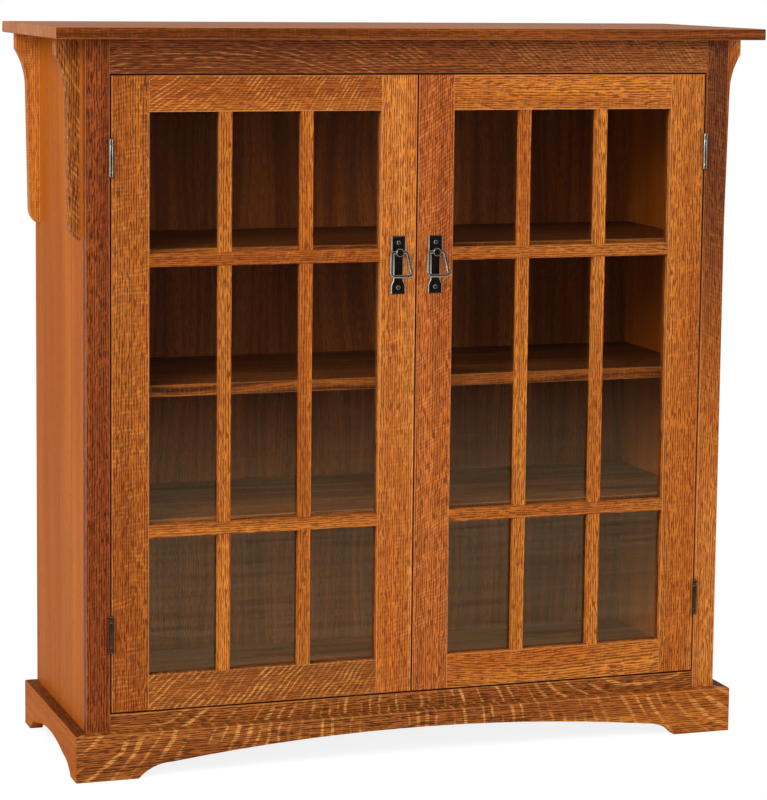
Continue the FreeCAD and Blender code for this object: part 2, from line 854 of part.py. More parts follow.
# Doors
door_near = s.meeting_gap / 2
door_far = half_opening - s.door_gap
door_low = opening_low + s.door_gap
door_top = opening_top - s.door_gap
rail_reach = door_far - s.door_stile_width
lock_reach = door_near + s.door_stile_width
glass_plane = s.muntin_recess + s.muntin_thick
glass_low = door_low + s.door_rail_height
glass_top = door_top - s.door_rail_height


def rebate(name, sign):
    """The step round the back of a door's opening that the glass sits in."""
    x, width = beside(sign, lock_reach - s.glass_rabbet, rail_reach + s.glass_rabbet)
    low = glass_low - s.glass_rabbet
    height = glass_top + s.glass_rabbet - low
    return block(name, x, front + glass_plane, low, width, s.door_thick - glass_plane, height)


def door_frame(side, sign, hinge_screws, pull_screws):
    """Two stiles and two rails, tenoned together and rebated for the glass."""
    name = "door_" + side
    step = rebate(name + "_rebate", sign)
    x, width = beside(sign, lock_reach, rail_reach)
    tenon_x, tenon_width = beside(sign, lock_reach - s.door_tenon_length, rail_reach + s.door_tenon_length)
    tenon_y = front + s.door_tenon_set
    tenons = []
    tenon_rise = s.door_rail_height - 2 * s.tenon_shoulder - s.glass_rabbet
    for end, low, outer_z, tenon_z in (
        ("bottom", door_low, door_low, door_low + s.tenon_shoulder),
        ("top", glass_top, door_top, glass_top + s.glass_rabbet + s.tenon_shoulder),
    ):
        part = "%s_%s" % (name, end)
        blank = block(part + "_blank", x, front, low, width, s.door_thick, s.door_rail_height)
        rail = softened(blank, edges_at(y=front, z=outer_z), edges_at(y=front + s.door_thick, z=outer_z))
        tenon_size = (tenon_width, s.door_tenon_thick, tenon_rise)
        tongue = block(part + "_tenon", tenon_x, tenon_y, tenon_z, *tenon_size)
        tenons.append(tongue)
        whole = fuse(part + "_whole", [rail, tongue])
        keep(cut(part + "_cut", whole, [step]), part + "_rail")
    height = door_top - door_low
    for place, near_x, far_x, holes in (
        ("lock", door_near, lock_reach, pull_screws),
        ("hinge", rail_reach, door_far, hinge_screws),
    ):
        low_x, stile_width = beside(sign, near_x, far_x)
        outer_x = sign * (near_x if place == "lock" else far_x)
        blank_name = "%s_%s_blank" % (name, place)
        blank = block(blank_name, low_x, front, door_low, stile_width, s.door_thick, height)
        tests = []
        for y in (front, front + s.door_thick):
            tests += [edges_at(x=outer_x, y=y), edges_at(y=y, z=door_low), edges_at(y=y, z=door_top)]
        board = softened(blank, *tests)
        keep(cut("%s_%s_cut" % (name, place), board, [step] + tenons + holes), "%s_%s_stile" % (name, place))


def muntins(side, sign):
    """Two upright and two level bars, halved into each other where they cross."""
    name = "door_" + side
    y = front + s.muntin_recess
    half = s.muntin_thick / 2
    lite = (rail_reach - lock_reach - 2 * s.muntin_width) / 3
    starts = [lock_reach + lite, lock_reach + 2 * lite + s.muntin_width]
    centres = [opening_low + s.muntin_row_inset, opening_top - s.muntin_row_inset]
    columns = [beside(sign, start, start + s.muntin_width)[0] for start in starts]
    rows = [centre - s.muntin_width / 2 for centre in centres]
    cross_x, cross_width = beside(sign, lock_reach, rail_reach)
    wide = s.muntin_width
    uprights = []
    for number, x in enumerate(columns):
        part = "%s_upright_%d" % (name, number)
        blank = block(part + "_blank", x, y, glass_low, wide, s.muntin_thick, glass_top - glass_low)
        bar = softened(blank, edges_at(x=x, y=y), edges_at(x=x + wide, y=y))
        halvings = []
        for place, z in enumerate(rows):
            halvings.append(block("%s_halving_%d" % (part, place), x, y, z, wide, half, wide))
        uprights.append(cut(part, bar, halvings))
    levels = []
    for number, z in enumerate(rows):
        part = "%s_level_%d" % (name, number)
        blank = block(part + "_blank", cross_x, y, z, cross_width, s.muntin_thick, wide)
        bar = softened(blank, edges_at(y=y, z=z), edges_at(y=y, z=z + wide))
        halvings = []
        for place, x in enumerate(columns):
            halvings.append(block("%s_halving_%d" % (part, place), x, y + half, z, wide, half, wide))
        levels.append(cut(part, bar, halvings))
    keep(group(name + "_uprights", uprights), name + "_vertical_muntins")
    keep(group(name + "_levels", levels), name + "_horizontal_muntins")


def glazing(side, sign):
    """One pane behind the muntins, held by four wooden strips."""
    name = "door_" + side
    low = glass_low - s.glass_rabbet
    rise = glass_top + s.glass_rabbet - low
    x, width = beside(sign, lock_reach - s.glass_rabbet, rail_reach + s.glass_rabbet)
    play = s.glass_play
    pane_y = front + glass_plane
    inner = (width - 2 * play, rise - 2 * play)
    pane = block(name + "_pane", x + play, pane_y, low + play, inner[0], s.glass_thick, inner[1])
    keep(pane, name + "_glass")
    y = pane_y + s.glass_thick
    depth = s.door_thick - glass_plane - s.glass_thick
    strip = s.glass_rabbet
    upright = rise - 2 * strip
    stops = [
        block(name + "_stop_low", x, y, low, width, depth, strip),
        block(name + "_stop_high", x, y, low + rise - strip, width, depth, strip),
        block(name + "_stop_left", x, y, low + strip, strip, depth, upright),
        block(name + "_stop_right", x + width - strip, y, low + strip, strip, depth, upright),
    ]
    keep(group(name + "_stops", stops), name + "_glass_stops")


# Pulls
pull_x = door_near + s.door_stile_width / 2
pull_top = opening_top - s.pull_drop
pull_face = front - s.pull_thick
pivot_y = pull_face - s.boss_length / 2
pivot_z = pull_top - s.boss_drop


def pull_screw_pair(side, sign):
    """The two screws of a pull, through its plate into the stile."""
    pair = []
    ends = (("high", pull_top - s.pull_screw_inset), ("low", pull_top - s.pull_height + s.pull_screw_inset))
    for end, z in ends:
        name = "pull_screw_%s_%s" % (end, side)
        x = sign * pull_x
        face = pull_face - s.pull_screw_rise
        head = faceted_rod(name + "_head", x, face, z, s.pull_screw_head, s.pull_screw_rise, "back")
        shank = faceted_rod(name + "_shank", x, pull_face, z, s.pull_screw_shank, s.pull_screw_length, "back")
        pair.append(fuse(name, [head, shank]))
    return pair


def pull_plate(side, sign, screws):
    """The back plate: a square head, a narrow waist and a flared foot, with its round boss."""
    name = "pull_plate_" + side
    half = s.pull_width / 2
    waist = s.pull_waist / 2
    step = half - waist
    head_low = pull_top - s.pull_head_height
    foot_low = pull_top - s.pull_height
    foot_top = foot_low + s.pull_foot_height
    half_outline = [
        (half, foot_low),
        (half, foot_top),
        (waist, foot_top + s.pull_flare),
        (waist, head_low - step),
        (half, head_low),
        (half, pull_top),
    ]
    centre = sign * pull_x
    corners = [(centre + out, up) for out, up in half_outline]
    corners += [(centre - out, up) for out, up in reversed(half_outline)]
    body = doc.addObject("PartDesign::Body", name + "_body")
    tie(body, y=front)
    outline(sketch_on(body, "XZ_Plane", name + "_outline"), corners)
    pad(body, body.Group[-1], name + "_pad", s.pull_thick)

    def front_edge(edge):
        return near(edge.CenterOfMass.y, -s.pull_thick.number) and near(edge.BoundBox.YLength, 0)

    ease_edges(body, name + "_eased", "Chamfer", front_edge, Size=s.pull_edge_bevel)
    straight = s.boss_length - s.boss_round
    nose_radius = s.boss_radius - s.boss_round
    nose_y = pull_face - straight
    boss = rod(name + "_boss", centre, pull_face, pivot_z, s.boss_radius, straight, "front")
    nose = cone(name + "_nose", centre, nose_y, pivot_z, s.boss_radius, nose_radius, s.boss_round, "front")
    bore_radius = corner_radius(s.bail_pivot_radius) + s.bail_pivot_play
    bore_start = centre - s.boss_radius
    bore = faceted_rod(name + "_bore", bore_start, pivot_y, pivot_z, bore_radius, 2 * s.boss_radius, "right")
    whole = fuse(name + "_whole", [body, boss, nose])
    keep(cut(name + "_cut", whole, [bore] + screws), "door_%s_pull_plate" % side)


def bent_path(corners, bends):
    """Straight runs through the corners, joined by an arc of each corner's own bend radius."""
    edges = []
    start = corners[0]
    for corner, following, bend in zip(corners[1:-1], corners[2:], bends):
        arriving = (corner - start).normalize()
        leaving = (following - corner).normalize()
        turn = arriving.getAngle(leaving)
        reach = bend * math.tan(turn / 2)
        first = corner - arriving * reach
        last = corner + leaving * reach
        towards_centre = (leaving - arriving).normalize()
        centre = corner + towards_centre * (bend / math.cos(turn / 2))
        middle = centre - towards_centre * bend
        edges.append(Part.LineSegment(start, first).toShape())
        edges.append(Part.Arc(first, middle, last).toShape())
        start = last
    edges.append(Part.LineSegment(start, corners[-1]).toShape())
    return Part.Wire(edges)


def bail(side, sign):
    """A square bar bent to a splayed loop, with a thin pivot at each end that sits in the boss."""
    inner = s.boss_radius.number + s.bail_side_play.number
    shoulder = s.bail_shoulder.number
    spread = s.bail_spread.number
    drop = -s.bail_length.number
    half_path = [(inner, 0), (shoulder, 0), (spread, drop)]
    corners = [FreeCAD.Vector(-x, 0, z) for x, z in half_path]
    corners += [FreeCAD.Vector(x, 0, z) for x, z in reversed(half_path)]
    top_bend = s.bail_top_bend.number
    low_bend = s.bail_low_bend.number
    path = bent_path(corners, [top_bend, low_bend, low_bend, top_bend])
    half = s.bail_bar_thick.number / 2
    square = [(half, half), (-half, half), (-half, -half), (half, -half), (half, half)]
    section = Part.makePolygon([FreeCAD.Vector(-inner, y, z) for y, z in square])
    loop = doc.addObject("Part::Feature", "bail_loop_" + side)
    loop.Shape = path.makePipeShell([section], True, False)
    length = s.bail_pivot_depth + s.bail_side_play
    members = [loop]
    for end, step, toward in (("left", -1, "left"), ("right", 1, "right")):
        start = step * (s.boss_radius - s.bail_pivot_depth)
        name = "bail_%s_pivot_%s" % (side, end)
        members.append(faceted_rod(name, start, 0, 0, s.bail_pivot_radius, length, toward))
    made = fuse("bail_" + side, members)
    turn = FreeCAD.Rotation(FreeCAD.Vector(1, 0, 0), -s.bail_lean.number)
    made.Placement = FreeCAD.Placement(FreeCAD.Vector(), turn)
    tie(made, x=sign * pull_x, y=pivot_y, z=pivot_z)
    keep(made, "bail_" + side)


# Catches
def catches():
    """A magnet under the stop rail for each door, and its strike plate on the door's back."""
    housings = []
    middle_z = stop_low - s.catch_height / 2
    for side, sign in SIDES:
        x = sign * pull_x
        back_face = front + s.door_thick
        name = "catch_" + side
        face = back_face + s.strike_thick + s.catch_play
        low = stop_low - s.catch_height
        left = x - s.catch_width / 2
        sizes = (s.catch_width, s.catch_depth, s.catch_height)
        housings.append(block(name + "_housing", left, face, low, *sizes))
        strike_x = x - s.strike_width / 2
        strike_z = middle_z - s.strike_height / 2
        sizes = (s.strike_width, s.strike_thick, s.strike_height)
        strike = block(name + "_strike", strike_x, back_face, strike_z, *sizes)
        keep(strike, "door_%s_strike_plate" % side)
    keep(group("catch_set", housings), "magnetic_catches")


# The whole bookcase
def build():
    """Make every piece, from the case to the pulls."""
    case_top()
    for side, sign in SIDES:
        side_panel(side, sign)
        base_side_board(side, sign)
    case_boards()
    base_front_board()
    base_back_rail()
    corner_blocks()
    corbels()
    shelves()
    frame_screws, door_screws = hinges()
    face_frame(frame_screws)
    for side, sign in SIDES:
        pull_screws = pull_screw_pair(side, sign)
        door_frame(side, sign, door_screws[side], pull_screws)
        muntins(side, sign)
        glazing(side, sign)
        pull_plate(side, sign, pull_screws)
        keep(group("pull_screw_set_" + side, pull_screws), "door_%s_pull_screws" % side)
        bail(side, sign)
    catches()


def check_and_export():
    """Stop on any failed object, then write each piece to its own file."""
    doc.recompute()
    for thing in doc.Objects:
        faults = [state for state in thing.State if state in ("Invalid", "Error")]
        if faults:
            raise RuntimeError("%s is %s" % (thing.Name, faults))
    for thing in finished:
        if thing.Shape.isNull() or not thing.Shape.isValid():
            raise RuntimeError("%s has no valid shape" % thing.Label)
    os.makedirs("parts", exist_ok=True)
    solids = 0
    for thing in finished:
        solids += len(thing.Shape.Solids)
        thing.Shape.exportStep("parts/%s.step" % thing.Label)
    print(len(finished), "sub-parts,", solids, "solids")


build()
check_and_export()
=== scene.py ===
# %% [markdown]
# # An oak bookcase with glazed doors
# The boards, hinges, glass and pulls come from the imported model, and stand where they were built. This
# lesson gives them their looks: quarter-sawn oak under a honey stain, thin glass and black iron. It starts
# by loading the model, which leaves every board selected, so the first thing to do is to let go of them.

# %% Load the bookcase
import math

import bpy
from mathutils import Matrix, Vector


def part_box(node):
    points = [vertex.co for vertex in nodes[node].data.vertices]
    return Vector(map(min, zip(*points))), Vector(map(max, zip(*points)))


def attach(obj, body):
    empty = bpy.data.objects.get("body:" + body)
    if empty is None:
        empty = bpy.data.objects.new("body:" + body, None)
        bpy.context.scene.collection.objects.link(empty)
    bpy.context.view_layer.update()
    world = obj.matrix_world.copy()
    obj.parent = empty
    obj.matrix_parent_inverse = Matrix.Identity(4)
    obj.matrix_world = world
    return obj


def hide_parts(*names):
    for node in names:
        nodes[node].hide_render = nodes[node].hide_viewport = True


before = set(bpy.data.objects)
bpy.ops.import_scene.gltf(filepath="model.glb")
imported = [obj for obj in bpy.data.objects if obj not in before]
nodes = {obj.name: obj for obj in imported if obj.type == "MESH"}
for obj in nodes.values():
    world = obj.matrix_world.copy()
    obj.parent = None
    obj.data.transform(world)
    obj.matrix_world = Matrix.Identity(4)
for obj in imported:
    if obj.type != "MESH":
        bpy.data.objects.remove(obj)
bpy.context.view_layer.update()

bpy.ops.object.select_all(action="DESELECT")

# %% [markdown]
# ## The camera
# The picture is taken from the left of the middle and from far away with a long lens, so the uprights stay
# nearly parallel. The place, the turn and the lens were found by matching the corners of the top, the doors
# and the base. The camera stands just above the top board, and the lens is shifted down, as a studio
# camera's is, so that the bookcase fills the frame.

# %% Set up the camera
CAMERA_PLACE = (-1.6145, -4.7203, 1.3364)
CAMERA_ANGLES = (82.985, -0.622, -18.872)
LENS_LENGTH = 130.32
FILM_WIDTH = 36
LENS_RISE = -0.1
LENS_SIDE = -0.0008

lens = bpy.data.cameras.new("camera")
lens.lens = LENS_LENGTH
lens.sensor_width = FILM_WIDTH
lens.shift_x = LENS_SIDE
lens.shift_y = LENS_RISE
camera = bpy.data.objects.new("camera", lens)
camera.location = CAMERA_PLACE
camera.rotation_euler = [math.radians(angle) for angle in CAMERA_ANGLES]
bpy.context.scene.collection.objects.link(camera)
bpy.context.scene.camera = camera
print("camera at", CAMERA_PLACE)

# %% [markdown]
# ## Floor and light
# A studio has a white sweep behind the piece and a dim room in front of it. Here the floor is one large
# plate that the camera sees as white, straight or through an open door's glass, with the shadow of the case
# still on it. The world is white too, but shiny things see both as white behind the bookcase and dim in
# front, so that the lacquer doesn't turn milky and the panes stay clear. Close in front of the case, shiny
# things see the floor as a painted reflection of a warm room, broken by streaks. Two large lamps stand in
# for soft boxes: a stronger one high on the left, and a weak one on the right. The shaders are put together
# in code, so a few short functions that add and link their nodes come first.

# %% Add and link shader nodes
def add_node(tree, kind, inputs=(), **options):
    """Add a shader node, set its options, and link or set its inputs, in order or by their names."""
    made = tree.nodes.new(kind)
    for name, value in options.items():
        setattr(made, name, value)
    for name, value in inputs.items() if isinstance(inputs, dict) else enumerate(inputs):
        if isinstance(value, bpy.types.NodeSocket):
            tree.links.new(value, made.inputs[name])
        elif value is not None:
            made.inputs[name].default_value = value
    return made


def empty_tree(thing):
    """The node tree of a material or world, with nothing in it."""
    thing.use_nodes = True
    thing.node_tree.nodes.clear()
    return thing.node_tree


print("nodes can be added and linked")


# %% Reckon with numbers, colours and places in a shader
def compute(tree, operation, *values):
    """One step of arithmetic on numbers."""
    return add_node(tree, "ShaderNodeMath", values, operation=operation).outputs[0]


def between(tree, value, low, high, first=0.0, last=1.0):
    """A value turned into first below low and last above high, with a soft step between."""
    inputs = [value, low, high, first, last]
    return add_node(tree, "ShaderNodeMapRange", inputs, interpolation_type="SMOOTHSTEP").outputs[0]


def blended(tree, share, first, second):
    """Two numbers mixed by a share."""
    return add_node(tree, "ShaderNodeMix", [share, None, first, second]).outputs[0]


def mixed(tree, share, first, second):
    """Two colours mixed by a share."""
    inputs = {0: share, 6: first, 7: second}
    return add_node(tree, "ShaderNodeMix", inputs, data_type="RGBA").outputs[2]


def reckon(tree, operation, *values):
    """One step of arithmetic on places or directions."""
    return add_node(tree, "ShaderNodeVectorMath", values, operation=operation).outputs[0]


def split(tree, place):
    """The X, Y and Z of a place or direction."""
    return add_node(tree, "ShaderNodeSeparateXYZ", [place]).outputs


def own_place(tree):
    """Where on the object the shader is at work."""
    return add_node(tree, "ShaderNodeTexCoord").outputs["Object"]


def cloud(tree, place, stretch=None, detail=2.0):
    """Soft noise of about 0 to 1, finer in the directions that are stretched more."""
    if stretch:
        place = reckon(tree, "MULTIPLY", place, stretch)
    return add_node(tree, "ShaderNodeTexNoise", [place, None, 1.0, detail, 0.5]).outputs[0]


print("numbers, colours and places can be reckoned with")

# %% The world
WORLD_LIGHT = 0.6
DIM_ROOM = 0.06
PAPER_GLOSS = 0.45
GLOSS_STEP = (-0.2, 0.6)

world = bpy.data.worlds.new("studio")
bpy.context.scene.world = world
tree = empty_tree(world)
path = add_node(tree, "ShaderNodeLightPath").outputs
looked_at = compute(tree, "MAXIMUM", path["Is Camera Ray"], path["Is Transmission Ray"])
toward = split(tree, add_node(tree, "ShaderNodeTexCoord").outputs["Generated"])
mirrored = between(tree, toward[1], *GLOSS_STEP, DIM_ROOM, PAPER_GLOSS)
glow = blended(tree, path["Is Glossy Ray"], WORLD_LIGHT, mirrored)
glow = blended(tree, looked_at, glow, 1.0)
sky = add_node(tree, "ShaderNodeBackground", [(1, 1, 1, 1), glow])
add_node(tree, "ShaderNodeOutputWorld", [sky.outputs[0]])
print("world light", WORLD_LIGHT)

# %% The floor
FLOOR_TONE = (0.80, 0.79, 0.78, 1)
FLOOR_SIZE = 60
FLOOR_GLOW = 0.7
GLOW_STRENGTH = 1.23
REFLECTED_WARM_TONE = (0.98, 0.7, 0.38, 1)
DIM_TONE = (0.03, 0.025, 0.02, 1)
PAPER_END = 0.9
ROOM_START = 4.9
STREAK_STRETCH = (3, 24, 1)
STREAK_STEP = (0.3, 0.7)
STREAK_SHARE = 0.45

bpy.ops.mesh.primitive_plane_add(size=FLOOR_SIZE, location=(0, 0, 0))
floor = bpy.context.object
floor.name = "floor"
pale = bpy.data.materials.new("pale_floor")
tree = empty_tree(pale)
path = add_node(tree, "ShaderNodeLightPath").outputs
depth = split(tree, add_node(tree, "ShaderNodeNewGeometry").outputs["Position"])[1]
# What shiny things see of the floor close in front is a painted reflection: a warm room that fades to dim,
# broken by streaks.
room = mixed(tree, between(tree, depth, -ROOM_START, -PAPER_END), DIM_TONE, REFLECTED_WARM_TONE)
streaks = cloud(tree, own_place(tree), STREAK_STRETCH, 3.0)
room = mixed(tree, between(tree, streaks, *STREAK_STEP, 0.0, STREAK_SHARE), room, DIM_TONE)
in_front = between(tree, depth, -PAPER_END, PAPER_END, 1.0, 0.0)
bounces = compute(tree, "ADD", path["Glossy Depth"], path["Diffuse Depth"])
straight = compute(tree, "LESS_THAN", bounces, 0.5)
through = compute(tree, "MULTIPLY", path["Is Transmission Ray"], straight)
mirrored = compute(tree, "MULTIPLY", path["Is Glossy Ray"], compute(tree, "SUBTRACT", 1.0, through))
tone = mixed(tree, compute(tree, "MULTIPLY", mirrored, in_front), FLOOR_TONE, room)
paint = add_node(tree, "ShaderNodeBsdfDiffuse", [tone])
white = add_node(tree, "ShaderNodeEmission", [(1, 1, 1, 1), GLOW_STRENGTH])
looked_at = compute(tree, "MAXIMUM", path["Is Camera Ray"], through)
share = compute(tree, "MULTIPLY", looked_at, FLOOR_GLOW)
both = add_node(tree, "ShaderNodeMixShader", [share, paint.outputs[0], white.outputs[0]])
add_node(tree, "ShaderNodeOutputMaterial", [both.outputs[0]])
floor.data.materials.append(pale)
bpy.ops.object.select_all(action="DESELECT")
print("floor of", FLOOR_SIZE, "m")


# %% Two soft boxes
LAMP_AIM = Vector((0, 0, 0.6))
LAMP_SIZE = 2.4


def soft_box(name, place, power):
    """A square lamp that points at the middle of the bookcase."""
    lamp = bpy.data.lights.new(name, "AREA")
    lamp.size = LAMP_SIZE
    lamp.energy = power
    thing = bpy.data.objects.new(name, lamp)
    thing.location = place
    thing.rotation_euler = (LAMP_AIM - Vector(place)).to_track_quat("-Z", "Y").to_euler()
    bpy.context.scene.collection.objects.link(thing)


soft_box("left_soft_box", (-3.4, -2.6, 3.0), 150)
soft_box("right_soft_box", (3.2, -3.0, 2.2), 60)
print("two soft boxes")

# %% [markdown]
# ## Quarter-sawn oak
# Oak sawn across its rings shows two things at once: fine dark dashes along the board, which are its open
# pores, and pale flecks that cross them at a slant, which are the rays of the wood. A photograph of wood
# would slide and stretch over the edges, so the figure is worked out in space instead, as if each board were
# cut out of a solid log. One group of nodes holds the figure. Each board gives it its own place in the log,
# its own slant of the rays and its own colours.

# %% Start the figure's group
SHADES = ("Dark", "Middle", "Light", "Ray", "Edge")
FIGURE_INPUTS = [("Place", "Vector"), ("Start", "Vector"), ("Half", "Vector")]
FIGURE_INPUTS += [(name, "Color") for name in SHADES]
FIGURE_INPUTS += [(name, "Float") for name in ("Dashes", "Rays", "Slant", "Fan", "Size", "Sweep", "Streaks")]
FIGURE_OUTPUTS = [("Color", "Color"), ("Roughness", "Float"), ("Height", "Float")]

figure = bpy.data.node_groups.new("quarter_sawn_oak", "ShaderNodeTree")
for way, sockets in (("INPUT", FIGURE_INPUTS), ("OUTPUT", FIGURE_OUTPUTS)):
    for label, kind in sockets:
        figure.interface.new_socket(label, in_out=way, socket_type="NodeSocket" + kind)
tree = figure
given = add_node(tree, "NodeGroupInput").outputs
print("the figure takes", len(FIGURE_INPUTS), "inputs")

# %% The figure: pores, bands and tone
WAVE_STRETCH = (2.2, 9, 9)
BAND_STRETCH = (1.4, 95, 40)
BAND_STEP = (0.36, 0.64)
TONE_STRETCH = (1.1, 15, 15)
TONE_STEP = (0.32, 0.68)
PORE_STRETCH = (95, 820, 820)
PORE_STEP = (0.5, 0.68)
DASH_STRETCH = (52, 400, 400)
DASH_STEP = (0.49, 0.575)
SWAY_STRETCH = (3.5, 42, 20)
ROW_PITCH = 0.0039
ROW_SWAY = 0.006
ROW_WEIGHT = 0.13

place = given["Place"]
log = reckon(tree, "ADD", place, given["Start"])
wave = compute(tree, "SUBTRACT", cloud(tree, log, WAVE_STRETCH, 1.0), 0.5)
shift = compute(tree, "MULTIPLY", wave, given["Sweep"])
grain = reckon(tree, "ADD", log, add_node(tree, "ShaderNodeCombineXYZ", [0.0, shift, 0.0]).outputs[0])
bands = between(tree, cloud(tree, grain, BAND_STRETCH), *BAND_STEP)
tone = between(tree, cloud(tree, grain, TONE_STRETCH), *TONE_STEP)
pores = between(tree, cloud(tree, grain, PORE_STRETCH, 0.0), *PORE_STEP)
sway = compute(tree, "MULTIPLY", cloud(tree, grain, SWAY_STRETCH, 0.0), ROW_SWAY)
sides = split(tree, grain)
row = compute(tree, "ADD", compute(tree, "ADD", sides[1], sides[2]), sway)
turns = compute(tree, "DIVIDE", row, ROW_PITCH / math.tau)
rows = compute(tree, "MULTIPLY", compute(tree, "SINE", turns), ROW_WEIGHT)
broken = compute(tree, "ADD", cloud(tree, grain, DASH_STRETCH, 1.0), rows)
dashes = compute(tree, "MULTIPLY", between(tree, broken, *DASH_STEP), given["Dashes"])
print("pores, bands and tone take", len(figure.nodes), "nodes")

# %% [markdown]
# The rays lie along slanted lines. A line's number is the distance along the board less the distance across
# it times the tangent of the slant, and the slant itself changes along the board, so that the flecks fan
# out. A sine of that number gives a row of stripes, and noise that is stretched along the stripes breaks
# them into flecks of uneven length and width.

# %% The figure: rays
RAY_PITCH = 0.0078
FLECK_STRETCH = (95, 30, 300)
FLECK_WEIGHT = 3.0
FLECK_STEP = (0.55, 1.05)
ZONE_STRETCH = (16, 22, 22)
ZONE_STEP = (0.34, 0.54)
ZONE_LEAST = 0.35
WANDER_STRETCH = (12, 20, 20)
WANDER_LENGTH = 0.02

parts = split(tree, place)
wander = compute(tree, "SUBTRACT", cloud(tree, log, WANDER_STRETCH, 1.0), 0.5)
drift = compute(tree, "MULTIPLY", wander, WANDER_LENGTH)
slant = compute(tree, "MULTIPLY_ADD", parts[0], given["Fan"], given["Slant"])
aside = compute(tree, "MULTIPLY", parts[1], compute(tree, "TANGENT", slant))
line = compute(tree, "ADD", compute(tree, "SUBTRACT", parts[0], aside), drift)
line = compute(tree, "MULTIPLY", line, compute(tree, "COSINE", slant))
reach = compute(tree, "DIVIDE", parts[1], compute(tree, "COSINE", slant))
fleck = add_node(tree, "ShaderNodeCombineXYZ", [line, reach, parts[2]]).outputs[0]
fleck = reckon(tree, "MULTIPLY", fleck, FLECK_STRETCH)
scaling = {0: fleck, "Scale": compute(tree, "DIVIDE", 1.0, given["Size"])}
sized = add_node(tree, "ShaderNodeVectorMath", scaling, operation="SCALE")
flecks = cloud(tree, reckon(tree, "ADD", sized.outputs[0], given["Start"]))
pitch = compute(tree, "MULTIPLY", given["Size"], RAY_PITCH / math.tau)
stripes = compute(tree, "SINE", compute(tree, "DIVIDE", line, pitch))
uneven = compute(tree, "MULTIPLY", compute(tree, "SUBTRACT", flecks, 0.5), FLECK_WEIGHT)
hair = between(tree, compute(tree, "ADD", stripes, uneven), *FLECK_STEP)
zones = between(tree, cloud(tree, log, ZONE_STRETCH, 1.0), *ZONE_STEP, ZONE_LEAST, 1.0)
rays = compute(tree, "MULTIPLY", compute(tree, "MULTIPLY", hair, zones), given["Rays"])
print("with the rays", len(figure.nodes), "nodes")

# %% [markdown]
# The long edges of a board are painted lighter, partly as stain rubbed thin and partly as a painted highlight
# where the eased edge catches the light. A point is on such an edge when it is close to the board's side and
# to its face at once. Its place from the middle of the board, taken from half the board's size, leaves the
# two gaps, and the larger of them has to be small.

# %% The figure: edges and colours
RUBBED_AND_LIT_EDGE_WIDTH = 0.002
RUBBED_AND_LIT_EDGE_SHARE = 0.4
PLAIN_ROUGH = 0.42
DASH_ROUGH = 0.15
RAY_ROUGH = -0.08
DASH_HEIGHT = -1.0
PORE_HEIGHT = -0.6

gaps = reckon(tree, "SUBTRACT", given["Half"], reckon(tree, "ABSOLUTE", place))
gaps = split(tree, gaps)
far = compute(tree, "MAXIMUM", gaps[1], gaps[2])
# The lighter edges are partly rubbed stain and partly a painted highlight.
edges = between(tree, far, RUBBED_AND_LIT_EDGE_WIDTH / 3, RUBBED_AND_LIT_EDGE_WIDTH, RUBBED_AND_LIT_EDGE_SHARE, 0.0)

color = mixed(tree, tone, given["Middle"], given["Light"])
color = mixed(tree, compute(tree, "MULTIPLY", bands, given["Streaks"]), color, given["Dark"])
for what, share, shade in ((rays, 0.8, "Ray"), (dashes, 0.95, "Dark"), (pores, 0.3, "Dark")):
    color = mixed(tree, compute(tree, "MULTIPLY", what, share), color, given[shade])
color = mixed(tree, edges, color, given["Edge"])
height = compute(tree, "MULTIPLY", pores, PORE_HEIGHT)
height = compute(tree, "MULTIPLY_ADD", dashes, DASH_HEIGHT, height)
rough = compute(tree, "MULTIPLY_ADD", rays, RAY_ROUGH, PLAIN_ROUGH)
rough = compute(tree, "MULTIPLY_ADD", dashes, DASH_ROUGH, rough)
add_node(tree, "NodeGroupOutput", {"Color": color, "Roughness": rough, "Height": height})
print("the whole figure has", len(figure.nodes), "nodes")

# %% [markdown]
# ## Stains
# The whole bookcase had one stain, but oak takes it unevenly: the doors stayed golden, and the left stile and
# the top rail of the case came out a deep red brown. The inside looks nearly black because it lies in shade,
# and the darker stains given to its boards and shelves paint some of that shade in. Colours are written as
# they are seen on a screen, from 0 to 255, and turned into the straight scale that the shader wants.

# %% Stain colours
def screen_color(red, green, blue):
    """A colour as a screen shows it, turned into the shader's straight scale."""
    straight = []
    for part in (red, green, blue):
        part = part / 255
        straight.append(part / 12.92 if part <= 0.04045 else ((part + 0.055) / 1.055) ** 2.4)
    return (*straight, 1)


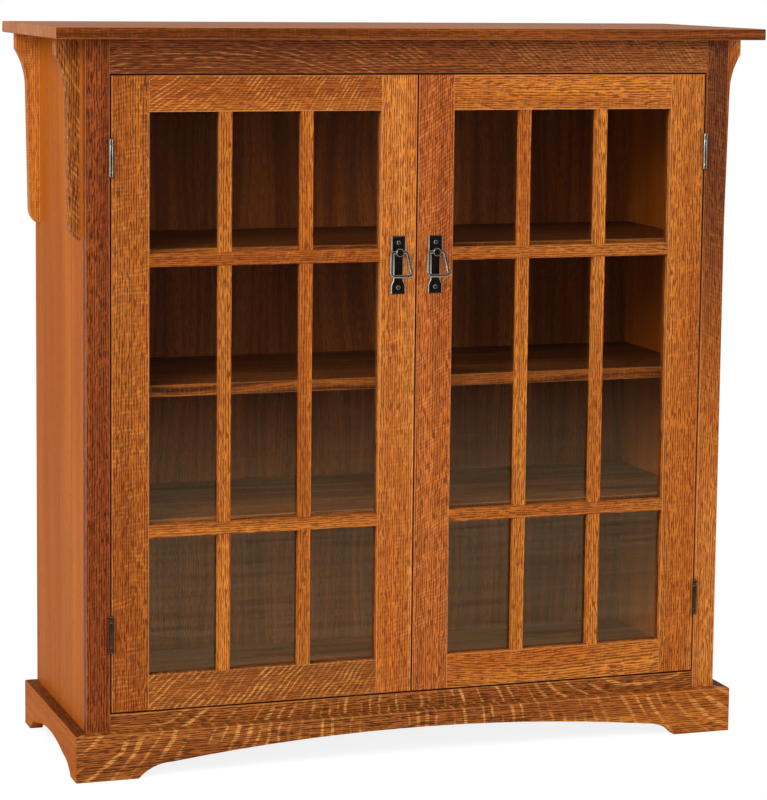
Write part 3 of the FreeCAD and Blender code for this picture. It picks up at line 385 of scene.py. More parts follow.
# Dark, middle, light and ray colours, and the colour of an edge, partly rubbed stain and partly a painted
# highlight
STAINS = {
    "honey": ((96, 34, 4), (190, 102, 28), (218, 134, 48), (232, 158, 78), (218, 148, 88)),
    "deep_honey": ((84, 30, 4), (170, 88, 24), (198, 116, 40), (226, 150, 72), (206, 136, 78)),
    "golden": ((112, 44, 8), (202, 112, 36), (226, 144, 60), (232, 162, 86), (224, 156, 96)),
    "red_honey": ((88, 30, 6), (178, 88, 28), (206, 114, 44), (228, 150, 82), (208, 134, 84)),
    "russet": ((54, 17, 3), (142, 64, 20), (172, 88, 32), (184, 110, 52), (178, 112, 68)),
    "umber": ((48, 18, 5), (118, 56, 16), (146, 74, 26), (196, 126, 68), (150, 90, 52)),
    "amber": ((140, 66, 12), (176, 88, 18), (196, 110, 30), (200, 124, 50), (206, 130, 66)),
    # The pale, flat top stain paints the sheen of the top face over the wood's own tone.
    "top": ((122, 70, 42), (184, 116, 72), (204, 136, 90), (208, 142, 98), (206, 140, 104)),
    "toasted": ((58, 22, 5), (160, 84, 28), (186, 108, 42), (212, 140, 64), (196, 126, 68)),
    "tiger": ((58, 22, 5), (160, 86, 29), (188, 110, 44), (230, 160, 78), (200, 130, 70)),
    # The dark walnut of the shelves paints the shade that lies on their tops.
    "shaded_walnut": ((40, 16, 4), (122, 64, 24), (152, 86, 38), (170, 102, 50), (150, 88, 46)),
    # The inside stain is darker than the stains outside, and paints some of the shade inside the case.
    "inside": ((44, 17, 5), (140, 72, 28), (172, 96, 44), (178, 106, 52), (150, 86, 44)),
}
print(len(STAINS), "stains")

# %% [markdown]
# ## Boards
# Each board says which way its grain runs, which way its face is wide, and which stain it took. The three
# directions are put in the order along, across and through before they reach the figure, so that one group
# serves uprights, rails and shelves alike. A different start in the log keeps two boards from matching. The
# faces that look one way may have a look of their own, and a board may pass softly to a second stain at one
# end. On a shelf, the lighter front edge and the dark top are painted light and shade.

# %% Set the figure up for a board
AXES = {"x": 0, "y": 1, "z": 2}
LOG_STEP = Vector((0.73, 0.31, 0.17))


def in_board_order(tree, vector, along, across):
    """A place or size in X, Y and Z put in the order along the grain, across the face and through it."""
    through = ({"x", "y", "z"} - {along, across}).pop()
    parts = split(tree, vector)
    ordered = [parts[AXES[axis]] for axis in (along, across, through)]
    return add_node(tree, "ShaderNodeCombineXYZ", ordered).outputs[0]


def wood(tree, node, number, along, across, stain, dashes=0.8, rays=0.5, slant=0.0, fan=0.0, **others):
    """The figure set up for one board, or for a group of boards that lie the same way."""
    low, high = [Vector(corner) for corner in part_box(node)]
    centred = reckon(tree, "SUBTRACT", own_place(tree), (low + high) / 2)
    half = (1, 1, 1) if others.get("group") else (high - low) / 2
    settings = {"Place": in_board_order(tree, centred, along, across)}
    settings["Half"] = in_board_order(tree, half, along, across)
    settings.update({"Start": LOG_STEP * number, "Dashes": dashes, "Rays": rays})
    settings.update({"Slant": math.radians(slant), "Fan": math.radians(fan)})
    settings.update({"Size": others.get("size", 1), "Sweep": others.get("sweep", 0.006)})
    settings["Streaks"] = others.get("streaks", 0.3)
    for socket, shade in zip(SHADES, STAINS[stain]):
        settings[socket] = screen_color(*shade)
    return add_node(tree, "ShaderNodeGroup", settings, node_tree=figure)


print("each board starts", LOG_STEP, "further along the log")

# %% Finish a board
BUMP_STRENGTH = 0.25
BUMP_DEPTH = 0.0004
WOOD_SHINE = 0.12
FACE_STEP = (0.6, 0.8)
OTHER_LOG = 50


def surface(tree, sockets, height, strength, depth):
    """A shader with its sockets filled, a bump that gives it its grain, and the output."""
    bump = {"Strength": strength, "Distance": depth, "Height": height}
    sockets["Normal"] = add_node(tree, "ShaderNodeBump", bump).outputs[0]
    shader = add_node(tree, "ShaderNodeBsdfPrincipled", sockets)
    add_node(tree, "ShaderNodeOutputMaterial", [shader.outputs[0]])


def oak(node, number, along, across, stain, face=None, blend=None, shine=WOOD_SHINE, **grown):
    """The finish of a board, where the faces that look one way, or one end of it, may have another look."""
    made = bpy.data.materials.new("oak_" + node)
    tree = empty_tree(made)
    color, rough, height = wood(tree, node, number, along, across, stain, **grown).outputs
    if face:
        axis, toward, settings = face
        other = wood(tree, node, number + OTHER_LOG, *settings[:3], **settings[3])
        looks = split(tree, add_node(tree, "ShaderNodeNewGeometry").outputs["Normal"])[AXES[axis]]
        share = between(tree, compute(tree, "MULTIPLY", looks, toward), *FACE_STEP)
    if blend:
        axis, start, end, other_stain = blend
        other = wood(tree, node, number, along, across, other_stain, **grown)
        share = between(tree, split(tree, own_place(tree))[AXES[axis]], start, end)
    if face or blend:
        color = mixed(tree, share, color, other.outputs[0])
        rough = blended(tree, share, rough, other.outputs[1])
        height = blended(tree, share, height, other.outputs[2])
    sockets = {"Specular IOR Level": shine, "Base Color": color, "Roughness": rough}
    surface(tree, sockets, height, BUMP_STRENGTH, BUMP_DEPTH)
    return made


def finish(node, material):
    """Give a piece of the model one material all over."""
    mesh = nodes[node].data
    mesh.materials.clear()
    mesh.materials.append(material)


print("boards can be finished")

# %% [markdown]
# ## Which board has which finish
# The list goes from the top down. Each board has its direction along the grain, its wide direction and its
# stain, and then what sets its figure apart from plain: more or fewer dashes and rays, the slant of the rays
# from square across the grain in degrees, how fast the slant changes in degrees to the metre, the size of
# the flecks, and how far flat-sawn grain sweeps to the side, in metres.

# %% Dress the boards
# The front edge of the top board keeps a darker umber, and its top face takes the pale top stain, which
# paints its sheen.
TOP_FRONT = ("y", -1, ("x", "z", "umber", dict(dashes=0.5, rays=0.1, streaks=0.6, sweep=0.02)))
STILE_TOP = ("z", 0.35, 1.1, "umber")
RAIL_END = ("x", -0.4, 1.4, "toasted")
BASE_END = ("x", 0.0, 0.5, "deep_honey")
# A shelf's front edge takes a lighter stain than its top, which paints light on the lit front.
SHELF_FRONT = ("y", -1, ("x", "z", "toasted", dict(dashes=0.5, rays=0.2, sweep=0.06, streaks=0.95)))
LEDGE = ("z", 1, ("y", "x", "umber", dict(dashes=0.5, rays=0.5, slant=40)))
SHELF = dict(dashes=0.4, rays=0.2, slant=20, size=1.4, sweep=0.05, streaks=0.75, face=SHELF_FRONT)
SIDE = dict(dashes=0.25, rays=0.06, sweep=0.02, shine=0.03)
BASE_SIDE = dict(dashes=0.3, rays=0.2, slant=15, size=1.5, shine=0.03, face=LEDGE)
BACK_CORBEL = dict(dashes=0.5, rays=0.5, size=0.6)
UPRIGHT_BARS = dict(group=True, dashes=0.8, rays=0.15)
LEVEL_BARS = dict(group=True, dashes=0.7, rays=0.2, slant=20)
STOPS = dict(group=True, rays=0.1)
BOARDS = {
    "top_board": ("x", "y", "top", dict(dashes=0.25, rays=0.1, slant=10, shine=0.04, face=TOP_FRONT)),
    "sub_top": ("x", "y", "inside", dict(rays=0.1)),
    "side_panel_left": ("z", "y", "amber", SIDE),
    "side_panel_right": ("z", "y", "amber", SIDE),
    "case_bottom": ("x", "y", "inside", dict(dashes=0.4, rays=0.1, streaks=0.4)),
    "door_stop_rail": ("x", "z", "inside", dict(rays=0.2)),
    "back_panel": ("z", "x", "inside", dict(dashes=0.3, rays=0.0, sweep=0.06, streaks=0.35)),
    "frame_stile_left": ("z", "x", "russet", dict(dashes=0.85, rays=0.2, slant=20)),
    "frame_stile_right": ("z", "x", "golden", dict(rays=0.2, slant=-20, blend=STILE_TOP)),
    "frame_top_rail": ("x", "z", "umber", dict(dashes=0.75, rays=0.6, slant=-60, fan=40, blend=RAIL_END)),
    "frame_bottom_rail": ("x", "z", "tiger", dict(rays=0.95, slant=-5, fan=-110, size=1.9)),
    "base_front": ("x", "z", "tiger", dict(rays=0.9, fan=-62, size=2.2, sweep=0.02, blend=BASE_END)),
    "base_left": ("y", "z", "amber", BASE_SIDE),
    "base_right": ("y", "z", "amber", BASE_SIDE),
    "base_back_rail": ("x", "z", "inside", dict(rays=0.2)),
    "base_corner_blocks": ("z", "x", "inside", dict(rays=0.2)),
    "corbel_front_left": ("z", "x", "toasted", dict(rays=0.9, slant=-50, fan=-40)),
    "corbel_front_right": ("z", "x", "golden", dict(rays=0.6, slant=50)),
    "corbel_back_left": ("z", "x", "golden", BACK_CORBEL),
    "corbel_back_right": ("z", "x", "golden", BACK_CORBEL),
    "shelf_lower": ("x", "y", "shaded_walnut", SHELF),
    "shelf_middle": ("x", "y", "shaded_walnut", SHELF),
    "shelf_upper": ("x", "y", "shaded_walnut", SHELF),
    "door_left_hinge_stile": ("z", "x", "deep_honey", dict(rays=0.4, slant=8)),
    "door_left_lock_stile": ("z", "x", "golden", dict(rays=0.3, slant=8)),
    "door_left_top_rail": ("x", "z", "deep_honey", dict(dashes=0.6, rays=0.85, slant=40, fan=-50, size=0.85)),
    "door_left_bottom_rail": ("x", "z", "tiger", dict(dashes=0.5, rays=0.9, slant=42, fan=-20, size=1.05)),
    "door_left_vertical_muntins": ("z", "x", "honey", UPRIGHT_BARS),
    "door_left_horizontal_muntins": ("x", "z", "deep_honey", LEVEL_BARS),
    "door_left_glass_stops": ("z", "x", "inside", STOPS),
    "door_right_hinge_stile": ("z", "x", "honey", dict(rays=0.2, slant=8)),
    "door_right_lock_stile": ("z", "x", "red_honey", dict(rays=0.5, slant=26, fan=10, size=0.8)),
    "door_right_top_rail": ("x", "z", "honey", dict(rays=0.3, slant=10, sweep=0.02)),
    "door_right_bottom_rail": ("x", "z", "honey", dict(rays=0.25, slant=10, sweep=0.05)),
    "door_right_vertical_muntins": ("z", "x", "honey", UPRIGHT_BARS),
    "door_right_horizontal_muntins": ("x", "z", "deep_honey", LEVEL_BARS),
    "door_right_glass_stops": ("z", "x", "inside", STOPS),
}
for number, (node, (along, across, stain, grown)) in enumerate(BOARDS.items()):
    finish(node, oak(node, number, along, across, stain, **grown))
print("dressed", len(BOARDS), "boards")

# %% [markdown]
# ## Glass
# The pane is a real solid, 3 mm thick, so the shader only has to be clear and smooth, and to bend light as
# window glass does. That also sets how much of the floor it mirrors. Rays that go to a lamp pass straight
# through, so the shelves behind it are lit without the noise that bent light brings.

# %% Glaze the doors
PANE_TINT = screen_color(246, 244, 238)
PANE_LOOK = {"Base Color": PANE_TINT, "Roughness": 0.01, "Transmission Weight": 1, "IOR": 1.5}

glass = bpy.data.materials.new("window_glass")
tree = empty_tree(glass)
pane = add_node(tree, "ShaderNodeBsdfPrincipled", PANE_LOOK)
open_way = add_node(tree, "ShaderNodeBsdfTransparent", [PANE_TINT])
to_lamp = add_node(tree, "ShaderNodeLightPath").outputs["Is Shadow Ray"]
either = add_node(tree, "ShaderNodeMixShader", [to_lamp, pane.outputs[0], open_way.outputs[0]])
add_node(tree, "ShaderNodeOutputMaterial", [either.outputs[0]])
for side in ("left", "right"):
    finish("door_%s_glass" % side, glass)
print("glazed both doors")

# %% [markdown]
# ## Metals
# The pulls are black iron with a satin coat, the hinges dark pewter, and the screws plain steel. Each has a
# faint cloud in its roughness, because no metal shines evenly. Where a piece turns a sharp corner its colour
# is lighter, partly as worn coat and partly as a painted highlight. A bevel node finds such corners: it
# rounds the normal near them, so there the rounded normal differs from the true one. Whole faces, such as
# the bevels of a pull, get a second, brighter metal of their own, which is a painted highlight.

# %% Metal finishes
BRIGHT_EDGE_WIDTH = 0.0004
BRIGHT_EDGE_STEP = (0.88, 0.985)
BRIGHT_EDGE_METAL = 0.25
DARKER = 0.75
HAZE_STEP = (0.35, 0.65)
ROUGH_STEP = (0.3, 0.7)
GRAIN_FINER = 6
GRAIN_DEPTH = 0.0002


def metal(name, shade, bright_edge, rough, cloud_scale, grit, mirror=1.0):
    """A metal whose shine varies, with bright corners and a slight grain."""
    made = bpy.data.materials.new(name)
    tree = empty_tree(made)
    seen = own_place(tree)
    haze = cloud(tree, seen, (cloud_scale,) * 3, 3.0)
    darker = screen_color(*[DARKER * part for part in shade])
    tint = mixed(tree, between(tree, haze, *HAZE_STEP), screen_color(*shade), darker)
    rounded = add_node(tree, "ShaderNodeBevel", [BRIGHT_EDGE_WIDTH], samples=4).outputs[0]
    straight = add_node(tree, "ShaderNodeNewGeometry").outputs["Normal"]
    match = add_node(tree, "ShaderNodeVectorMath", [rounded, straight], operation="DOT_PRODUCT")
    # Lighter corners: partly worn coat and partly a painted highlight.
    corner = between(tree, match.outputs["Value"], *BRIGHT_EDGE_STEP, 1.0, 0.0)
    sockets = {"Base Color": mixed(tree, corner, tint, screen_color(*bright_edge))}
    sockets["Roughness"] = between(tree, haze, *ROUGH_STEP, rough * 0.8, rough * 1.25)
    sockets["Metallic"] = compute(tree, "MULTIPLY_ADD", corner, (BRIGHT_EDGE_METAL - 1) * mirror, mirror)
    grain = cloud(tree, seen, (cloud_scale * GRAIN_FINER,) * 3)
    surface(tree, sockets, grain, grit, GRAIN_DEPTH)
    return made


black_iron = metal("black_iron", (58, 55, 52), (150, 146, 138), 0.34, 180, 0.2)
# These two brighter irons paint highlights on the faces of the pulls that get them.
highlight_iron = metal("highlight_iron", (222, 222, 218), (240, 238, 230), 0.3, 400, 0.1, 0.5)
bail_highlight_iron = metal("bail_highlight_iron", (178, 178, 174), (200, 198, 192), 0.25, 400, 0.1, 0.7)
pewter = metal("pewter", (84, 82, 82), (190, 188, 184), 0.3, 900, 0.05)
# A brighter pewter that paints highlight lines on the hinges.
pewter_highlight = metal("pewter_highlight", (216, 216, 208), (240, 238, 232), 0.3, 900, 0.05, 0.5)
steel = metal("screw_steel", (190, 186, 178), (240, 238, 232), 0.28, 240, 0.05)
PLATE_LOOK = (black_iron, highlight_iron)
BAIL_LOOK = (black_iron, bail_highlight_iron)
HINGE_LOOK = (pewter, pewter_highlight)
finish("shelf_pins", steel)
print("made 6 metals")

# %% Moulded plastic
SPECKLE_STRETCH = (900, 900, 900)

brown_plastic = bpy.data.materials.new("brown_plastic")
tree = empty_tree(brown_plastic)
speckle = cloud(tree, own_place(tree), SPECKLE_STRETCH)
sockets = {"Base Color": mixed(tree, speckle, screen_color(66, 42, 28), screen_color(82, 54, 36))}
sockets["Roughness"] = between(tree, speckle, *ROUGH_STEP, 0.4, 0.55)
moulded = add_node(tree, "ShaderNodeBsdfPrincipled", sockets)
add_node(tree, "ShaderNodeOutputMaterial", [moulded.outputs[0]])
print("made a plastic for the catches")

# %% [markdown]
# ## Modelling by hand
# The plain model has six-sided screws, flat-sided barrels and square bars. The cells below model these again
# at their full detail. They work as one does by hand: add a simple shape at its size and place, go into
# edit mode, choose faces or edges by where they are, and bevel, extrude, spin or cut. All lengths and places
# from here on are in millimetres.

# %% Start from simple shapes
def applied():
    """The piece at hand, with its place, turn and scale put into its mesh."""
    bpy.ops.object.transform_apply(location=True, rotation=True, scale=True)
    return bpy.context.object


def block(low, high):
    """A block between two corners."""
    low, high = Vector(low) / 1000, Vector(high) / 1000
    bpy.ops.mesh.primitive_cube_add(size=1, location=(low + high) / 2, scale=high - low)
    return applied()


def rod(start, axis, radius, length, sides=32):
    """A round rod from a start along one axis."""
    centre = Vector(start)
    centre[AXES[axis]] += length / 2
    turn = {"x": (0, math.pi / 2, 0), "y": (math.pi / 2, 0, 0), "z": (0, 0, 0)}[axis]
    sizes = {"vertices": sides, "radius": radius / 1000, "depth": length / 1000}
    bpy.ops.mesh.primitive_cylinder_add(location=centre / 1000, rotation=turn, **sizes)
    return applied()


print("blocks and rods can be added")

# %% Choose parts in edit mode
TINY = 1e-5
NEAR = 0.01
CORNERS = ("VERT", "vertices")
EDGES = ("EDGE", "edges")
FACES = ("FACE", "polygons")


def take(*pieces):
    """Select some pieces and no others, with the first one active."""
    bpy.ops.object.select_all(action="DESELECT")
    for piece in pieces:
        piece.select_set(True)
    bpy.context.view_layer.objects.active = pieces[0]


def edit(piece):
    """Select one piece alone and go into edit mode."""
    take(piece)
    bpy.ops.object.mode_set(mode="EDIT")


def near(measure, *targets):
    """Whether a measure is at one of some targets."""
    return min(abs(measure - target) for target in targets) < NEAR


def pick(kind, wanted):
    """In edit mode, select only what is wanted, told by the place of its middle."""
    mode, rows = kind
    bpy.ops.mesh.select_mode(type=mode)
    bpy.ops.mesh.select_all(action="DESELECT")
    bpy.ops.object.mode_set(mode="OBJECT")
    mesh = bpy.context.object.data
    for row in getattr(mesh, rows):
        corners = [row.index] if kind is CORNERS else row.vertices
        middle = sum((mesh.vertices[corner].co for corner in corners), Vector()) / len(corners)
        row.select = bool(wanted(middle * 1000))
    bpy.ops.object.mode_set(mode="EDIT")


def slice_at(axis, places):
    """In edit mode, cut new edges round the whole piece at some places along an axis."""
    normal = [0, 0, 0]
    normal[AXES[axis]] = 1
    for place in places:
        bpy.ops.mesh.select_all(action="SELECT")
        bpy.ops.mesh.bisect(plane_co=[part * place / 1000 for part in normal], plane_no=normal)


def drawn(step):
    """Extrude the faces that are selected along a step."""
    bpy.ops.mesh.extrude_region_move(TRANSFORM_OT_translate={"value": Vector(step) / 1000})


def bevelled(width, segments):
    """Bevel the edges that are selected."""
    bpy.ops.mesh.bevel(offset=width / 1000, segments=segments, affect="EDGES")


def moved(step):
    """Move what is selected."""
    bpy.ops.transform.translate(value=Vector(step) / 1000)


def turned(axis, angle):
    """Turn what is selected about the origin, in degrees."""
    about = {"orient_axis": axis, "orient_type": "GLOBAL", "center_override": (0, 0, 0)}
    bpy.ops.transform.rotate(value=math.radians(angle), **about)


def leave():
    """Put the normals outward and leave edit mode."""
    bpy.ops.mesh.select_all(action="SELECT")
    bpy.ops.mesh.normals_make_consistent(inside=False)
    bpy.ops.object.mode_set(mode="OBJECT")
    return bpy.context.object


print("parts can be picked, drawn out and bevelled")


# %% Cut, join and copy
def carve(piece, cutter):
    """Cut one piece out of another, and throw the cutter away."""
    step = piece.modifiers.new("cut", "BOOLEAN")
    step.object = cutter
    step.operation = "DIFFERENCE"
    step.solver = "EXACT"
    bpy.context.view_layer.objects.active = piece
    bpy.ops.object.modifier_apply(modifier=step.name)
    bpy.data.objects.remove(cutter)
    return piece


def joined(*pieces):
    """Several pieces made one."""
    take(*pieces)
    bpy.ops.object.join()
    return pieces[0]


def copied(piece, shift=(0, 0, 0), mirrored=False):
    """A copy with its own mesh, moved or mirrored across the middle of the bookcase."""
    take(piece)
    bpy.ops.object.duplicate(linked=False)
    if mirrored:
        bpy.ops.transform.mirror(constraint_axis=(True, False, False), center_override=(0, 0, 0))
    moved(shift)
    made = applied()
    if mirrored:
        # Mirroring turns a mesh inside out
        edit(made)
        leave()
    return made


print("pieces can be cut, joined and copied")

# %% Finish a new piece
SMOOTH_BELOW = 28


def paint_highlight(piece, wanted):
    """Give some faces the second material, a painted highlight, told by their normal and their middle."""
    for face in piece.data.polygons:
        face.material_index = int(wanted(face.normal, face.center * 1000))
    return piece


def settle(piece, name, materials, slot, body, *hidden):
    """Smooth and name a finished piece, and say its materials, what it moves with and what it stands for."""
    piece.name = name
    piece.data.name = name
    take(piece)
    bpy.ops.object.shade_smooth_by_angle(angle=math.radians(SMOOTH_BELOW))
    bpy.ops.object.select_all(action="DESELECT")
    # Faces that carry a painted highlight keep their second material.
    highlighted_faces = [min(face.material_index, len(materials) - 1) for face in piece.data.polygons]
    piece.data.materials.clear()
    for material in materials:
        piece.data.materials.append(material)
    piece.data.polygons.foreach_set("material_index", highlighted_faces)
    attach(piece, body)
    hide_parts(*hidden)
    print(name, "has", len(piece.data.polygons), "faces")


def settle_pair(left, right, name, materials, slot, hidden, body="door_%s"):
    """Settle a left and a right piece, with the side put in for %s."""
    for side, piece in (("left", left), ("right", right)):
        settle(piece, name % side, materials, slot, body % side, hidden % side)


print("pieces can be finished")

# %% [markdown]
# ## Slotted screws
# A screw's head is a disc with its rim rounded over and a slot milled across. One is made for each size,
# facing the front at the origin, and the copies are turned to the face that they sit in. The slots of real
# screws never line up, so each copy is given its own turn.

# %% Make the screws
SLOT_SHARE = 0.22
SLOT_DEPTH = 0.55
PULL_SCREW = {"radius": 3.4, "rise": 1.2, "crown": 0.8, "shank": 1.3, "length": 12}
HINGE_SCREW = {"radius": 2.3, "rise": 1.25, "crown": 0.15, "shank": 1.1, "length": 14}
TOP_SCREW = {"radius": 4.5, "rise": 3, "crown": 2, "shank": 1.9, "length": 28}


def slotted_screw(radius, rise, crown, shank, length):
    """A screw whose head lies on the plane y = 0 and faces the front."""
    head = rod((0, -rise, 0), "y", radius, rise, 24)
    edit(head)
    pick(EDGES, lambda place: near(place.y, -rise) and math.hypot(place.x, place.z) > radius * 0.9)
    bevelled(crown, 4)
    leave()
    half_slot = radius * SLOT_SHARE / 2
    floor_of_slot = -rise * (1 - SLOT_DEPTH)
    carve(head, block((-2 * radius, -2 * rise, -half_slot), (2 * radius, floor_of_slot, half_slot)))
    return joined(head, rod((0, 0, 0), "y", shank, length, 12))


def placed(screw, place, turn, slot_angle):
    """A copy of a screw with its slot turned, and then its face turned, at its place."""
    copied(screw)
    for axis, angle in (("Y", slot_angle), *turn):
        turned(axis, angle)
    moved(place)
    return applied()


print("screws can be made and placed")

# %% Screw the pulls on
PULL_X = 32.8
DOOR_FRONT = -181
PLATE_THICK = 3
PLATE_LOW = 789
PLATE_HIGH = 886
SCREW_HEIGHTS = (875, 800)
SLOT_TURNS = {-1: (35, -20), 1: (12, 70)}


def pull_screws(sign):
    """The two screws of a pull, with a painted highlight on the crowns of their heads."""
    x, y = sign * PULL_X, DOOR_FRONT - PLATE_THICK
    turns = zip(SCREW_HEIGHTS, SLOT_TURNS[sign])
    pair = joined(*[placed(pattern, (x, y, z), (), angle) for z, angle in turns])
    return paint_highlight(pair, lambda normal, middle: -0.97 < normal.y < -0.2)


pattern = slotted_screw(**PULL_SCREW)
names = "slotted_pull_screws_%s", PLATE_LOOK, "black_iron", "door_%s_pull_screws"
settle_pair(pull_screws(-1), pull_screws(1), *names)
bpy.data.objects.remove(pattern)

# %% [markdown]
# ## The pull plates
# Each plate is forged flat: a square head, a narrow waist and a wider foot, with its front edges filed to a
# bevel. The bevels at the sides and the rounded rim of the boss get a painted highlight. The boss stands on
# the head and carries the bail in a cross hole.

# %% Make the pull plates
PLATE_WIDE = 25
PLATE_WAIST = 17
FOOT_TOP = 804
WAIST_LOW = 812
WAIST_HIGH = 858
HEAD_LOW = 862
EDGE_BEVEL = 1.1
PIVOT = (PULL_X, -188.5, 859)
BOSS_RADIUS = 7
BOSS_FRONT = -193
BOSS_ROUND = 2.4
BORE_RADIUS = 1.8


def pull_plate():
    """The right-hand plate and its boss."""
    back, face = DOOR_FRONT, DOOR_FRONT - PLATE_THICK
    half = PLATE_WIDE / 2
    plate = block((PULL_X - half, face, PLATE_LOW), (PULL_X + half, back, PLATE_HIGH))
    edit(plate)
    slice_at("z", (FOOT_TOP, WAIST_LOW, WAIST_HIGH, HEAD_LOW))
    pick(CORNERS, lambda place: WAIST_LOW - 1 < place.z < WAIST_HIGH + 1)
    centre = Vector((PULL_X, face, PLATE_LOW)) / 1000
    bpy.ops.transform.resize(value=(PLATE_WAIST / PLATE_WIDE, 1, 1), center_override=centre)

    def on_front_rim(place):
        at_end = near(place.z, PLATE_LOW, PLATE_HIGH)
        return near(place.y, face) and (at_end or not near(place.x, PULL_X))

    pick(EDGES, on_front_rim)
    bevelled(EDGE_BEVEL, 1)
    leave()
    x, y, z = PIVOT
    boss = rod((x, BOSS_FRONT, z), "y", BOSS_RADIUS, face - BOSS_FRONT, 48)
    edit(boss)
    pick(EDGES, lambda place: near(place.y, BOSS_FRONT))
    bevelled(BOSS_ROUND, 5)
    leave()
    carve(boss, rod((x - 2 * BOSS_RADIUS, y, z), "x", BORE_RADIUS, 4 * BOSS_RADIUS, 16))

    # The side bevels and the rim of the boss get a painted highlight.
    def bright_edge(normal, middle):
        return -0.85 < normal.y < -0.5 and (middle.y < face or abs(normal.x) > 0.4)

    return paint_highlight(joined(plate, boss), bright_edge)


TO_LEFT = (-2 * PULL_X, 0, 0)
pattern = pull_plate()
names = "forged_plate_%s", PLATE_LOOK, "black_iron", "door_%s_pull_plate"
settle_pair(copied(pattern, TO_LEFT), pattern, *names)

# %% [markdown]
# ## The bails
# A bail is one bar bent to a loop: out from the boss, down a splayed leg, round the bottom and up again. It
# is made the same way here. An eight-sided face is drawn out along each straight and spun round each bend,
# so its flat front stays dark between two bevels that carry a painted highlight. A thin pin at each end
# turns in the boss.

# %% Bend the bails
BAR_THICK = 5
BAIL_START = 7.3
SHOULDER = 13.5
SPREAD = 18.5
DROP = 41
TOP_BEND = 4
LOW_BEND = 6
LEAN = 18
PIN_RADIUS = 1.6
PIN_REACH = 4


def bent(centre, angle, steps=6):
    """Spin the face that is selected round a centre in the bail's plane."""
    bpy.ops.mesh.spin(steps=steps, angle=angle, center=Vector(centre) / 1000, axis=(0, 1, 0))


def bail():
    """The right-hand bail, bent flat at the origin, then leaned out and set in its boss."""
    splay = math.atan2(SPREAD - SHOULDER, DROP)
    down = Vector((-math.sin(splay), 0, -math.cos(splay)))
    first, second = math.pi / 2 - splay, math.pi / 2 + splay
    top_reach, low_reach = TOP_BEND * math.tan(first / 2), LOW_BEND * math.tan(second / 2)
    leg = DROP / math.cos(splay) - top_reach - low_reach
    lead = SHOULDER - top_reach - BAIL_START
    inward = Vector((-down.z, 0, down.x))
    bend_end = Vector((-SHOULDER, 0, 0)) + down * top_reach + down * leg
    low_centre = bend_end + inward * LOW_BEND
    radius = BAR_THICK / 2 / math.cos(math.pi / 8)
    bpy.ops.mesh.primitive_cylinder_add(vertices=8, radius=radius / 1000, depth=lead / 1000)
    loop = bpy.context.object
    edit(loop)
    turned("Z", 22.5)
    turned("Y", 90)
    moved((-BAIL_START - lead / 2, 0, 0))
    pick(FACES, lambda place: near(place.x, -BAIL_START - lead))
    bent((-BAIL_START - lead, 0, -TOP_BEND), first)
    drawn(down * leg)
    bent(low_centre, second)
    drawn((2 * (SPREAD - low_reach), 0, 0))
    bent((-low_centre.x, 0, low_centre.z), second)
    drawn((down.x * leg, 0, -down.z * leg))
    bent((BAIL_START + lead, 0, -TOP_BEND), first)
    drawn((-lead, 0, 0))
    bpy.ops.mesh.select_all(action="SELECT")
    bpy.ops.mesh.remove_doubles(threshold=TINY)
    leave()
    starts = (-BAIL_START - 1, BAIL_START - PIN_REACH)
    pins = [rod((start, 0, 0), "x", PIN_RADIUS, PIN_REACH + 1, 16) for start in starts]
    # The slanted bevels of the bar get a painted highlight.
    whole = paint_highlight(joined(loop, *pins), lambda normal, middle: 0.5 < abs(normal.y) < 0.85)
    edit(whole)
    bpy.ops.mesh.select_all(action="SELECT")
    turned("X", LEAN)
    moved(PIVOT)
    return leave()


pattern = bail()
names = "bent_bail_%s", BAIL_LOOK, "black_iron", "bail_%s", "bail_%s"
settle_pair(copied(pattern, TO_LEFT), pattern, *names)

# %% [markdown]
# ## The hinges
# These are plain butt hinges, let in so that only the barrel shows. A leaf is a plate with one or two webs
# drawn out of its edge and a knuckle on each, and the knuckles of both leaves turn on a pin with a button
# at each end. The rims of the knuckles are eased, which draws the thin lines between them. The two upper
# barrels get two painted highlight lines, and the two lower ones stay dark.

# %% Knuckles and leaves
HINGE_X = 523.5
HINGE_Y = -185
HINGE_LOWS = (210, 992)
HINGE_HIGH = 60
KNUCKLE_RADIUS = 3.6
KNUCKLE_BORE = 1.6
END_KNUCKLE = 9
KNUCKLE_GAP = 0.3
LEAF_DEPTH = 18
LEAF_THICK = 1.25
WEB_INSET = 1.8
FRAME_LEAF_X = 523.75
DOOR_LEAF_X = 522
EASED = 0.5


def knuckle(low, length):
    """One tube of the barrel, with its rims eased."""
    tube = rod((HINGE_X, HINGE_Y, low), "z", KNUCKLE_RADIUS, length, 32)
    edit(tube)
    pick(EDGES, lambda place: near(place.z, low, low + length))
    bevelled(EASED, 2)
    pick(FACES, lambda place: near(place.z, low, low + length))
    wall = KNUCKLE_RADIUS - EASED - KNUCKLE_BORE
    bpy.ops.mesh.inset(thickness=wall / 1000, use_individual=True)
    bpy.ops.mesh.bridge_edge_loops()
    return leave()


def leaf(x, spans):
    """The leaf of a lower hinge on the right: its plate, and a web and a knuckle for each span."""
    low = HINGE_LOWS[0]
    plate = block((x, DOOR_FRONT, low), (x + LEAF_THICK, DOOR_FRONT + LEAF_DEPTH, low + HINGE_HIGH))
    reaches = [(low + start, low + start + length) for start, length in spans]
    edit(plate)
    slice_at("z", [end for reach in reaches for end in reach if low < end < low + HINGE_HIGH])
    pick(FACES, lambda place: near(place.y, DOOR_FRONT) and any(a < place.z < b for a, b in reaches))
    drawn((0, HINGE_Y + WEB_INSET - DOOR_FRONT, 0))
    leave()
    return joined(plate, *[knuckle(low + start, length) for start, length in spans])


